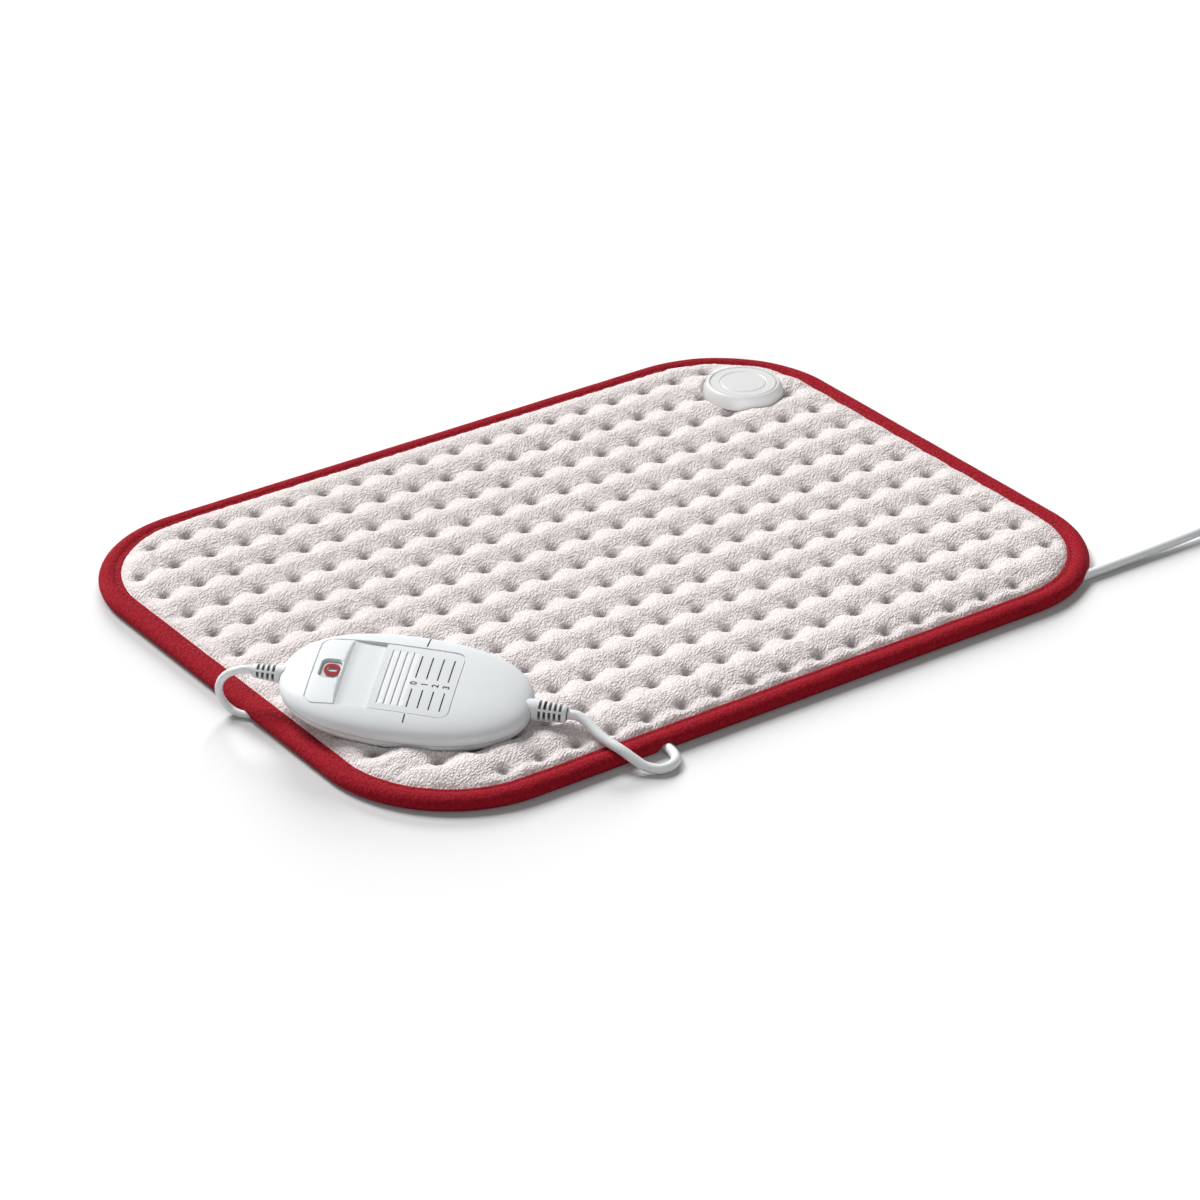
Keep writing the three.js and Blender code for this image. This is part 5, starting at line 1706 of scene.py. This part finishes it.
@dataclass
class Coupling:
    """The round coupling at the far corner: cap, and plate with its ring groove."""

    centre: Pair = (170.3, 102.8)
    steps: int = 128
    seat: float = 8.9
    radius: float = 21.5
    top_radius: float = 18.7
    height: float = 7.6
    wall: float = 2.4
    disc_radius: float = 17.6
    disc_thickness: float = 1.2
    foot: float = 0.4
    upright: float = 1.4
    bend_steps: int = 9
    bend_power: float = 1.2
    play: float = 0.3
    sink: float = 0.1
    rim_break: float = 0.25
    bore: float = 9.6
    web: float = 2.0
    fillet: float = 1.0
    inner_ring: float = 12.25
    groove: float = 0.35
    groove_lip: float = 0.2
    groove_side: float = 0.1
    groove_depth: float = 0.32
    middle: float = 6.0
    crown: tuple[float, float, float, float] = (0.05, 0.08, 0.15, 0.18)

    def place(self) -> Matrix:
        """Give the coupling's place on the pad."""
        return Matrix.Translation((*self.centre, 0.0))

    def cap(self) -> Piece:
        """Make the cap, rounded over to its recess for the plate."""
        low, top = self.seat, self.seat + self.height
        recess = top - self.disc_thickness - self.play
        inside, under = self.radius - self.wall, recess - self.web
        profile = [
            (inside, low), (self.radius - self.foot, low), (self.radius, low + self.foot),
            (self.radius, low + self.upright),
        ]
        for i in range(1, self.bend_steps + 1):
            angle = math.radians(90 * i / self.bend_steps)
            rise = (self.height - self.upright) * math.sin(angle) ** self.bend_power
            profile.append((
                self.top_radius + (self.radius - self.top_radius) * math.cos(angle),
                low + self.upright + rise,
            ))
        rim = self.disc_radius + self.play
        profile += [
            (rim + self.rim_break, top), (rim, top - self.rim_break), (rim, recess),
            (self.bore, recess), (self.bore, under), (inside - self.fillet, under),
            (inside, under - self.fillet), (inside, low),
        ]
        obj = as_object(turned(profile, self.steps), "coupling_cap_shell", self.place())
        return dress(obj, COUPLING_SHELL, "white_plastic", "coupling_cap", crease=40)

    def plate(self) -> Piece:
        """Make the round plate in the cap, slightly crowned, with a fine ring groove."""
        low = self.seat + self.height - self.disc_thickness
        top = self.seat + self.height - self.sink
        inner, outer = self.inner_ring - self.groove, self.inner_ring + self.groove
        rim, side = self.disc_radius, top - self.groove_side
        profile = [
            (0.0, low), (rim, low), (rim, top - self.play), (rim - self.play, top),
            (outer + self.groove_lip, top + self.crown[0]), (outer, side),
            (self.inner_ring, top - self.groove_depth), (inner, side),
            (inner - self.groove_lip, top + self.crown[1]), (self.middle, top + self.crown[2]),
            (0.0, top + self.crown[3]),
        ]
        obj = as_object(turned(profile, self.steps), "coupling_plate", self.place())
        return dress(obj, COUPLING_SHELL, "white_plastic", "coupling_top_disc", crease=30)

    def build(self) -> list[Piece]:
        """Make the coupling's visible pieces, the cap and the plate."""
        return [self.cap(), self.plate()]


# Controller


@dataclass(frozen=True)
class BendRelief:
    """Sizes of a slotted sleeve where a cord leaves the controller."""

    name: str
    node: str
    out: float
    root: float
    tip: float
    slots: int
    cord: float
    to_pad: bool


@dataclass
class Controller:
    """The slide controller: two shells, window, slider with its scale, and the bend reliefs."""

    pebble: Pebble
    fit: float = 0.3
    wall: float = 1.9
    past: float = 6.0
    over: float = 20.0
    overshoot: float = 1.0
    seam_snap: float = 1e-5
    finest: Grid = (192, 96)
    fine: Grid = (144, 72)
    medium: Grid = (96, 48)
    coarse: Grid = (72, 36)
    floor_faces: Grid = (48, 24)
    zero_faces: Grid = (64, 4)
    rib_steps: int = 40
    peg_steps: int = 40
    bore_steps: int = 32
    panel_left: float = -44.5
    panel_right: float = 24.0
    panel_width: float = 45.0
    panel_corner: float = 5.0
    groove_sides: Pair = (-0.3, 0.5)
    groove_depth: float = 0.5
    groove_rise: float = 0.01
    window_u: float = -36.2
    window_length: float = 9.4
    window_width: float = 12.2
    window_corner: float = 2.6
    window_rim: float = 0.7
    window_break: float = 0.3
    lens_room: float = 3.0
    lip: float = 2.2
    lip_lap: float = 0.2
    lip_start: float = 0.1
    lip_slope: float = 0.5
    lip_inset: float = 0.05
    lens_sink: float = 1.5
    slider_length: float = 37.6
    slider_sink: float = 0.25
    floor: float = 7.1
    floor_fall: float = 0.7
    ramp_length: float = 4.4
    ramp_rise: float = 0.7
    trough_plate: float = 1.6
    scale_pitch: float = 5.17
    scale_steps: int = 3
    scale_start: float = 4.0
    rib_count: int = 4
    rib_pitch: float = 3.35
    rib_depth: float = 0.5
    rib_slope: float = 2.5
    rib_half: float = 19.0
    rib_front: float = 0.1
    rib_over: float = 0.02
    rib_round: float = 1.6
    stem_u: float = 6.0
    stem: Pair = (2.0, 4.0)
    line_width: float = 0.65
    scale_ends: tuple[Pair, ...] = ((1.0, 16.5), (-18.7, -6.5))
    index_u: float = 4.4
    index_ends: tuple[Pair, ...] = ((23.8, 32.4), (-28.2, -23.2))
    digit_size: float = 4.5
    digit_weight: float = 0.1
    digit_w: float = -2.7
    zero_long: Pair = (2.5, 3.75)
    zero_wide: Pair = (1.35, 3.95)
    zero_power: float = 0.8
    zero_shift: float = 0.6
    print_lift: float = 0.03
    print_depth: float = 0.025
    screws: Pair = (38.5, 18.0)
    screw_head: float = 3.1
    screw_level: float = -5.9
    tower_radius: float = 4.5
    tower_levels: Pair = (-11.0, -0.4)
    tower_skin: float = 0.6
    bore: float = 3.5
    bore_reach: float = 90.0
    sleeve_steps: int = 48
    sleeve_core: float = 0.25
    sleeve_foot: float = 7.0
    sleeve_end: Pair = (0.7, 0.5)
    neck_radii: Pair = (4.2, 3.2)
    neck_along: Triple = (-7.2, -5.6, 1.0)
    slot_width: float = 1.35
    slot_web: float = 1.1
    slot_over: float = 1.0
    slots_start: float = 2.2
    slots_room: float = 4.0
    slot_lip: float = 0.05
    reliefs: tuple[BendRelief, ...] = (
        BendRelief("mains_relief", "bend_relief_mains", out=16.0, root=5.1, tip=4.1, slots=5,
                   cord=4.8, to_pad=False),
        BendRelief("lead_relief", "bend_relief_pad", out=14.0, root=4.3, tip=3.3, slots=4,
                   cord=3.8, to_pad=True),
    )

    @property
    def travel(self) -> float:
        """Give the slider's travel."""
        return self.scale_pitch * self.scale_steps

    @property
    def slider_front(self) -> float:
        """Give the place of the slider's front edge."""
        return self.panel_right - self.fit - self.slider_length

    @property
    def trough_left(self) -> float:
        """Give the place of the step below the window."""
        return self.slider_front - self.travel - self.fit

    @property
    def plate_under(self) -> float:
        """Give the level of the underside of the trough's plate."""
        return self.floor - self.floor_fall - self.trough_plate

    def panel(self, inset: float, bottom: float) -> Form:
        """Make a bar with the panel's outline.

        Args:
            inset: How far the outline is drawn in.
            bottom: Lower level of the bar.

        Returns:
            The new bmesh.
        """
        middle = (self.panel_right + self.panel_left) / 2
        long = (self.panel_right - self.panel_left - 2 * inset) / 2
        wide = (self.panel_width - 2 * inset) / 2
        return rounded_bar(
            (middle - long, -wide, bottom), (middle + long, wide, self.pebble.top + self.past),
            self.panel_corner - inset,
        )

    def floor_at(self, u: float, w: float) -> float:
        """Give the height of the trough's floor.

        Args:
            u: Place along the controller.
            w: Place across it.

        Returns:
            Height above the seam.
        """
        crown = self.floor - self.floor_fall * (2 * w / self.panel_width) ** 2
        share = min(max((u - self.trough_left) / self.ramp_length, 0.0), 1.0)
        return crown + self.ramp_rise * (1 - share) ** 2

    def above(self, left: float, right: float, floor: Level) -> Form:
        """Make everything above a floor.

        Args:
            left: Start along the controller.
            right: End along the controller.
            floor: Gives the floor's height.

        Returns:
            A closed bmesh.
        """
        half = self.panel_width / 2 + self.fit

        def place(s: float, t: float) -> Vector:
            """Give a point of the floor."""
            u, w = left + (right - left) * s, half * (2 * t - 1)
            return Vector((u, w, floor(u, w)))

        bm = patch(*self.floor_faces, place)
        raised = bmesh.ops.extrude_face_region(bm, geom=bm.faces[:])
        level_off(raised, self.pebble.top + self.past)
        return closed(bm)

    def trough(self) -> Piece:
        """Make the tool that cuts the room for the slider and its way."""
        room = self.above(self.trough_left, self.panel_right + self.overshoot, self.floor_at)
        return combine(as_object(room, "trough"), self.panel(0.0, -self.past), Cut.COMMON)

    def ramp(self) -> Piece:
        """Make the soft slope from the window panel down to the trough.

        Returns:
            A tool for cutting.
        """
        step = self.trough_left

        def slope(u: float, w: float) -> float:
            """Give the slope's height."""
            return self.floor_at(step, w) + self.lip_start + self.lip_slope * max(0.0, step - u)

        room = self.above(step - self.lip, step + self.lip_lap, slope)
        outline = self.panel(self.lip_inset, -self.past)
        return combine(as_object(room, "ramp"), outline, Cut.COMMON)

    def groove(self) -> Piece:
        """Make the fine groove round the window panel.

        Returns:
            A tool for cutting.
        """
        ring = as_object(self.panel(self.groove_sides[0], 0.0), "groove")
        inner = self.panel(self.groove_sides[1], -self.overshoot)
        bmesh.ops.translate(inner, vec=(0.0, 0.0, self.groove_rise), verts=inner.verts[:])
        combine(ring, inner, Cut.AWAY)
        return combine(ring, self.pebble.body(self.groove_depth, *self.medium), Cut.AWAY)

    def hollow(self) -> Piece:
        """Make the room inside the shells, around the trough's plate.

        Returns:
            A tool for cutting.
        """
        room = as_object(self.pebble.body(self.wall, *self.coarse), "room")
        half = self.panel_width / 2 + self.trough_plate
        well = block(
            (self.trough_left - self.fit, -half, self.plate_under),
            (self.panel_right + self.trough_plate, half, self.over),
        )
        return combine(room, well, Cut.AWAY)

    def half(self, upper: bool) -> Piece:
        """Make one half of the pebble.

        Args:
            upper: Whether it is the upper half.

        Returns:
            A closed solid half.
        """
        bm = self.pebble.body(0.0, *self.fine)
        side = 1.0 if upper else -1.0
        bmesh.ops.bisect_plane(
            bm, geom=bm.verts[:] + bm.edges[:] + bm.faces[:], dist=self.seam_snap,
            plane_co=(0, 0, side * self.fit / 2), plane_no=(0, 0, side), clear_inner=True,
        )
        return as_object(closed(bm), "controller_upper" if upper else "controller_lower")

    def peg(self, radius: float, low: float, high: float, steps: int) -> Form:
        """Spin an upright peg between two levels."""
        return turned([(0.0, low), (radius, low), (radius, high), (0.0, high)], steps)

    def cord_bore(self) -> Form:
        """Make the bore for both cords."""
        return lying(self.peg(self.bore, -self.bore_reach, self.bore_reach, self.bore_steps))

    def seat(self, obj: Piece) -> None:
        """Move a piece from the controller's own frame to its place on the pad."""
        place = self.pebble.place()
        place.translation *= MM
        obj.data.transform(place)

    def upper_shell(self) -> None:
        """Make the upper shell with its trough, window and groove."""
        obj = self.half(True)
        for tool in (self.hollow, self.trough, self.groove, self.ramp):
            combine(obj, tool(), Cut.AWAY)
        rim = self.window_rim
        for out, depth in (
            (0.0, self.wall + self.lens_room), (rim / 2, rim), (rim, self.window_break),
        ):
            long, wide = self.window_length / 2 + out, self.window_width / 2 + out
            window = as_object(rounded_bar(
                (self.window_u - long, -wide, 0.0), (self.window_u + long, wide, self.over),
                self.window_corner + out,
            ), "window")
            combine(window, self.pebble.body(depth, *self.medium), Cut.AWAY)
            combine(obj, window, Cut.AWAY)
        length, width = self.stem
        slot = block(
            (self.stem_u - length / 2 - self.travel - self.fit, -width / 2 - self.fit, 0.0),
            (self.stem_u + length / 2 + self.fit, width / 2 + self.fit, self.over),
        )
        combine(obj, slot, Cut.AWAY)
        combine(obj, self.cord_bore(), Cut.AWAY)
        self.seat(obj)
        dress(obj, WHITE_SHELL, "white_plastic", "controller_top_shell", crease=32)

    def lower_shell(self) -> None:
        """Make the lower shell with the sunk holes of its screws."""
        obj = self.half(False)
        combine(obj, self.pebble.body(self.wall, *self.coarse), Cut.AWAY)
        combine(obj, self.cord_bore(), Cut.AWAY)
        for u in (-self.screws[0], self.screws[0]):
            for w in (-self.screws[1], self.screws[1]):
                shift = Matrix.Translation((u, w, 0.0))
                peg = self.peg(self.tower_radius, *self.tower_levels, self.peg_steps)
                tower = as_object(peg, "tower", shift)
                combine(tower, self.pebble.body(self.tower_skin, *self.coarse), Cut.COMMON)
                combine(obj, tower, Cut.JOINED)
                hole = self.peg(self.screw_head, -self.over, self.screw_level, self.peg_steps)
                combine(obj, as_object(hole, "sink", shift), Cut.AWAY)
        self.seat(obj)
        dress(obj, WHITE_SHELL, "white_plastic", "controller_bottom_shell", crease=32)

    def rib(self, u: float) -> Form:
        """Make the wedge that cuts one finger rib: steep in front, sloping behind.

        Args:
            u: Place of its steep side.

        Returns:
            A closed bmesh that follows the crown across the slider.
        """
        def place(s: float, t: float) -> Vector:
            """Give a point of the wedge's skin."""
            w = self.rib_half * (2 * s - 1)
            past = max(0.0, (abs(w) - self.rib_half + self.rib_round) / self.rib_round)
            end = math.sqrt(max(0.0, 1 - past**2))
            level = self.pebble.height(u, w, self.slider_sink)
            corners = [
                (0.0, self.overshoot), (self.rib_front, -self.rib_depth * end),
                (self.rib_slope * end + self.rib_front, self.rib_over),
                (self.rib_slope, self.overshoot),
            ]
            du, dn = corners[round(t * 4) % 4]
            return Vector((u + du, w, level + dn))

        return closed(patch(self.rib_steps, 4, place))

    def slider(self) -> None:
        """Make the slider: a crowned plate with finger ribs and a stem."""
        left, right = self.slider_front, self.panel_right
        floor = self.above(left, right, lambda u, w: self.floor_at(u - self.travel, w) + self.fit)
        obj = as_object(self.pebble.body(self.slider_sink, *self.finest), "slider_plate")
        combine(obj, self.panel(self.fit, -self.past), Cut.COMMON)
        combine(obj, floor, Cut.COMMON)
        for i in range(self.rib_count):
            combine(obj, self.rib(left + self.rib_pitch * (i + 1)), Cut.AWAY)
        length, width = self.stem
        stem = block(
            (self.stem_u - length / 2, -width / 2, self.plate_under),
            (self.stem_u + length / 2, width / 2, self.floor + 3 * self.fit),
        )
        combine(obj, stem, Cut.JOINED)
        self.seat(obj)
        dress(obj, WHITE_SLIDER, "white_plastic", "slider", crease=32, body=Body.SLIDER)

    def stripe(self, name: str, spans: Sequence[Triple], inset: float, body: Body) -> None:
        """Print lines across the controller.

        Args:
            name: Name of the piece.
            spans: Place along the controller and both ends across it, for each line.
            inset: How far the printed surface is drawn in.
            body: The body that carries the lines.
        """
        bm = bmesh.new()
        for u, start, end in spans:
            made = bmesh.ops.create_grid(bm, x_segments=2, y_segments=20, size=0.5)["verts"]
            for vert in made:
                at = (u + vert.co.x * self.line_width, start + (end - start) * (vert.co.y + 0.5))
                vert.co = (*at, self.pebble.height(*at, inset) + self.print_lift)
        self.printed(bm, name, DARK_INK, body)

    def printed(self, bm: Form, name: str, ink: Finish, body: Body) -> None:
        """Give a print a little thickness and finish it.

        Args:
            bm: Faces of the print.
            name: Name of the piece.
            ink: The ink.
            body: The body that carries it.
        """
        bmesh.ops.recalc_face_normals(bm, faces=bm.faces[:])
        bmesh.ops.solidify(bm, geom=bm.faces[:], thickness=self.print_depth)
        obj = as_object(bm, name)
        self.seat(obj)
        dress(obj, ink, "dark_plastic" if ink is DARK_INK else "lens", crease=60, body=body)

    def digits(self) -> None:
        """Print the plain numbers of the scale."""
        bm = bmesh.new()
        for i in range(self.scale_steps + 1):
            curve = bpy.data.curves.new("digit", "FONT")
            curve.body = str(i)
            curve.size = self.digit_size
            curve.align_x = "CENTER"
            curve.align_y = "CENTER"
            curve.resolution_u = 6
            curve.offset = self.digit_weight
            obj = linked("digit", curve)
            bpy.context.view_layer.update()
            before = len(bm.verts)
            bm.from_mesh(obj.to_mesh())
            bpy.data.objects.remove(obj)
            bpy.data.curves.remove(curve)
            bmesh.ops.triangulate(bm, faces=bm.faces[:])
            bm.verts.ensure_lookup_table()
            for vert in bm.verts[before:]:
                u = self.scale_start + self.scale_pitch * i - vert.co.y
                w = self.digit_w + vert.co.x
                vert.co = (u, w, self.pebble.height(u, w, self.slider_sink) + self.print_lift)
        self.printed(bm, "scale_numbers", DARK_INK, Body.SLIDER)

    def zero(self) -> None:
        """Print the red zero on the window's lens."""
        level = self.pebble.top - self.lens_sink

        def place(s: float, t: float) -> Vector:
            """Give a point of the zero."""
            angle = 2 * math.pi * s
            long, wide = (a + (b - a) * t for a, b in (self.zero_long, self.zero_wide))
            u = bent(math.cos(angle), self.zero_power) * long
            w = bent(math.sin(angle), self.zero_power) * wide
            return Vector((self.window_u + self.zero_shift + u, w, level + self.print_lift))

        self.printed(patch(*self.zero_faces, place), "window_zero", RED_INK, Body.PAD)

    def scale(self) -> None:
        """Print the scale on the slider and the two index marks on the shell."""
        spans = [
            (self.scale_start + self.scale_pitch * i, *ends)
            for i in range(self.scale_steps + 1) for ends in self.scale_ends
        ]
        self.stripe("scale_lines", spans, self.slider_sink, Body.SLIDER)
        marks = [(self.index_u, *ends) for ends in self.index_ends]
        self.stripe("index_marks", marks, 0.0, Body.PAD)
        self.digits()

    def relief(self, size: BendRelief) -> None:
        """Make a slotted bend relief.

        Args:
            size: Its sizes.
        """
        start, end = self.pebble.half_length, self.pebble.half_length + size.out
        foot, bore = start - self.sleeve_foot, size.cord / 2 + CORD_PLAY
        profile = [
            (bore, foot), (size.root, foot), (size.root, start),
            (size.tip, end - self.sleeve_end[0]), (size.tip - self.sleeve_end[1], end),
            (bore, end), (bore, foot),
        ]
        obj = as_object(lying(turned(profile, self.sleeve_steps)), size.name)
        combine(obj, self.pebble.body(-self.fit, *self.medium), Cut.AWAY)
        flange, neck = self.neck_radii
        first, step, last = (start + along for along in self.neck_along)
        stub = [
            (bore, first), (flange, first), (flange, step), (neck, step), (neck, last),
            (bore, last), (bore, first),
        ]
        combine(obj, lying(turned(stub, self.sleeve_steps)), Cut.JOINED)
        core = bore + self.sleeve_core
        pitch = (size.out - self.slots_room) / size.slots
        for i in range(size.slots):
            middle = start + self.slots_start + pitch * (i + 0.5)
            self.slot(obj, middle, core, size.root + self.slot_over)
        # Painted shade: mark how deep each point lies in a slot, for the darkening of the slots'
        # floors and walls
        co = points_of(obj)
        share = np.clip((co[:, 0] - start) / size.out, 0.0, 1.0)
        skin = size.root + (size.tip - size.root) * share
        below = skin - self.slot_lip - np.hypot(co[:, 1], co[:, 2])
        painted_shade = np.clip(below / (skin - core), 0.0, 1.0)
        painted_shade[co[:, 0] < last] = 0.0
        mark(obj, SLEEVE.gaps, painted_shade)
        if size.to_pad:
            obj.data.transform(Matrix.Rotation(math.pi, 4, "Z"))
        self.seat(obj)
        dress(obj, SLEEVE, "sleeve", size.node, crease=32)

    def slot(self, obj: Piece, u: float, inner: float, outer: float) -> None:
        """Cut a ring of slots into a sleeve, with four webs left between them.

        Args:
            obj: The sleeve.
            u: Middle of the slots along the controller.
            inner: Radius down to which they go.
            outer: Radius past the sleeve's skin.
        """
        low, high, half = u - self.slot_width / 2, u + self.slot_width / 2, self.slot_web / 2
        ring = [(inner, low), (outer, low), (outer, high), (inner, high), (inner, low)]
        tool = as_object(lying(turned(ring, self.sleeve_steps)), "slot")
        for turn in (45.0, -45.0):
            web = block(
                (low - self.slot_over, -half, -2 * outer), (high + self.slot_over, half, 2 * outer)
            )
            about = Matrix.Rotation(math.radians(turn), 3, "X")
            bmesh.ops.rotate(web, matrix=about, verts=web.verts[:])
            combine(tool, web, Cut.AWAY)
        combine(obj, tool, Cut.AWAY)

    def build(self) -> None:
        """Make the controller's visible pieces."""
        self.upper_shell()
        self.lower_shell()
        self.slider()
        self.scale()
        self.zero()
        for size in self.reliefs:
            self.relief(size)


# Plug


@dataclass
class Plug:
    """The flat two-pin plug with its ribbed relief, beside the coil."""

    origin: Triple = (316.4, -150.0, 7.0)
    relief_length: float = 17.0
    relief_root: float = 4.6
    relief_tip: float = 3.2
    relief_edge: float = 0.4
    rib_count: int = 5
    rib_start: float = 1.5
    rib_room: float = 2.0
    rib_along: Triple = (1.7, 2.0, 2.7)
    relief_steps: int = 40
    pin_steps: int = 32
    rib_depth: float = 0.5
    cord: float = 4.8
    body_start: float = 17.3
    body_length: float = 26.0
    body_width: float = 35.0
    body_height: float = 13.6
    body_widths: tuple[float, ...] = (0.62, 0.82, 0.93, 1.0, 1.0)
    body_heights: tuple[float, ...] = (0.8, 0.94, 1.0, 1.0, 1.0)
    body_edge: float = 50.0
    body_round: float = 2.2
    pin_start: float = 43.6
    pin_length: float = 19.0
    pin_radius: float = 2.0
    pin_spacing: float = 18.6
    shank_length: float = 10.0
    shank_edge: Pair = (0.3, 0.15)
    shank_gap: float = 0.02
    tip_round: float = 1.6
    tip_angles: tuple[float, ...] = (20.0, 40.0, 60.0, 78.0)

    def relief(self) -> Piece:
        """Make the ribbed bend relief."""
        bore, end, edge = self.cord / 2 + CORD_PLAY, self.relief_length, self.relief_edge
        root, tip = self.relief_root, self.relief_tip
        profile = [(bore, 0.0), (tip - edge, 0.0), (tip, edge)]
        for i in range(self.rib_count):
            at = self.rib_start + i * (end - self.rib_room) / self.rib_count
            radius = tip + (root - tip) * at / end
            low = radius - self.rib_depth
            top, fall, rise = (at + along for along in self.rib_along)
            profile += [(radius, at), (radius, top), (low, fall), (low, rise)]
        profile += [(root, end - edge), (root, end), (bore, end), (bore, 0.0)]
        place = Matrix.Translation(self.origin)
        obj = as_object(lying(turned(profile, self.relief_steps)), "plug_bend_relief", place)
        return dress(obj, SLEEVE, "sleeve", "plug_relief", crease=35)

    def body(self) -> Piece:
        """Make the moulded body, narrower towards the lead and softened at its edges."""
        start, end = self.body_start, self.body_start + self.body_length
        wide, tall = self.body_width / 2, self.body_height / 2
        bm = block((start, -wide, -tall), (end, wide, tall))
        along = [e for e in bm.edges if abs(e.verts[0].co.x - e.verts[1].co.x) > 1.0]
        last = len(self.body_widths) - 1
        bmesh.ops.subdivide_edges(bm, edges=along, cuts=last - 1, use_grid_fill=True)
        for vert in bm.verts:
            i = round((vert.co.x - start) / self.body_length * last)
            vert.co.y *= self.body_widths[i]
            vert.co.z *= self.body_heights[i]
        sharp = math.radians(self.body_edge)
        edges = [e for e in bm.edges if e.calc_face_angle(0.0) > sharp]
        bmesh.ops.bevel(
            bm, geom=edges, offset=self.body_round, offset_type="OFFSET", affect="EDGES",
            segments=5, profile=0.5, material=-1, clamp_overlap=True,
        )
        obj = as_object(bm, "plug_moulding", Matrix.Translation(self.origin))
        return dress(obj, CORD_JACKET, "cord", "plug_body", crease=40)

    def pin(self, number: int, side: float) -> list[Piece]:
        """Make one pin: an insulated shank and a bright rounded tip.

        Args:
            number: Number of the pin's CAD node.
            side: 1 or -1 across the plug.

        Returns:
            The pin's two pieces.
        """
        r, start, end = self.pin_radius, self.pin_start, self.pin_start + self.pin_length
        neck, (along, inwards) = start + self.shank_length, self.shank_edge
        shank = [(0.0, start), (r, start), (r, neck - along), (r - inwards, neck), (0.0, neck)]
        low, bend = neck + self.shank_gap, end - self.tip_round
        tip = [(0.0, low), (r, low), (r, bend)]
        for angle in map(math.radians, self.tip_angles):
            tip.append((r * math.cos(angle), bend + self.tip_round * math.sin(angle)))
        tip.append((0.0, end))
        across = Vector((0.0, side * self.pin_spacing / 2, 0.0))
        place = Matrix.Translation(Vector(self.origin) + across)
        made = []
        for name, profile, finish, slot in (
            (f"plug_pin_sleeve_{number}", shank, DARK_PART, "dark_plastic"),
            (f"plug_pin_tip_{number}", tip, BRASS, "brass"),
        ):
            obj = as_object(lying(turned(profile, self.pin_steps)), name, place)
            nodes = (f"plug_pin_{number}",) if "tip" in name else ()
            made.append(dress(obj, finish, slot, *nodes, crease=35))
        return made

    def build(self) -> list[Piece]:
        """Make all the pieces of the plug."""
        return [self.relief(), self.body(), *self.pin(1, -1.0), *self.pin(2, 1.0)]


# What the CAD nodes that stay are made of

NODE_FINISHES: dict[Finish, tuple[str, ...]] = {
    CARRIER_CLOTH: ("heater_carrier",),
    WIRE_JACKET: ("heating_wire",),
    COUPLING_SHELL: ("coupling_base", "coupling_clamp_ring"),
    BRASS: ("coupling_pin_1", "coupling_pin_2", "contact_bridge", "contact_track_1",
            "contact_track_2"),
    STEEL: ("detent_spring", "shell_screw_1", "shell_screw_2", "shell_screw_3", "shell_screw_4"),
    LENS: ("indicator_lens", "indicator_lamp", "fuse"),
    BOARD_GREEN: ("circuit_board",),
    DARK_PART: ("pad_thermal_fuse", "capacitor", "thyristor", "terminal_block_pad",
                "terminal_block_mains", "coil_tie"),
}


def finish_nodes() -> None:
    """Give the CAD nodes that stay their finishes."""
    for finish, names in NODE_FINISHES.items():
        for name in names:
            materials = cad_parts[name].data.materials
            materials.clear()
            materials.append(finish.material())


def main() -> None:
    """Build the stage and every piece in order."""
    logging.basicConfig(level=logging.INFO, format="%(name)s %(message)s")
    stage = Stage()
    stage.build()
    cords = Cords()
    lead, mains = cords.build()
    plug = Plug().build()
    cords.declare(lead, mains)
    shape, pebble = PadShape(), Pebble()
    fleece = FleeceCover(shape, pebble)
    fleece.build()
    tunnel = cords.tunnel()
    UnderCover(shape, fleece, tunnel).build()
    EdgeBinding(shape, tunnel).build()
    stage.light_front(Coupling().build())
    Controller(pebble).build()
    finish_nodes()


if __name__ == "__main__":
    main()
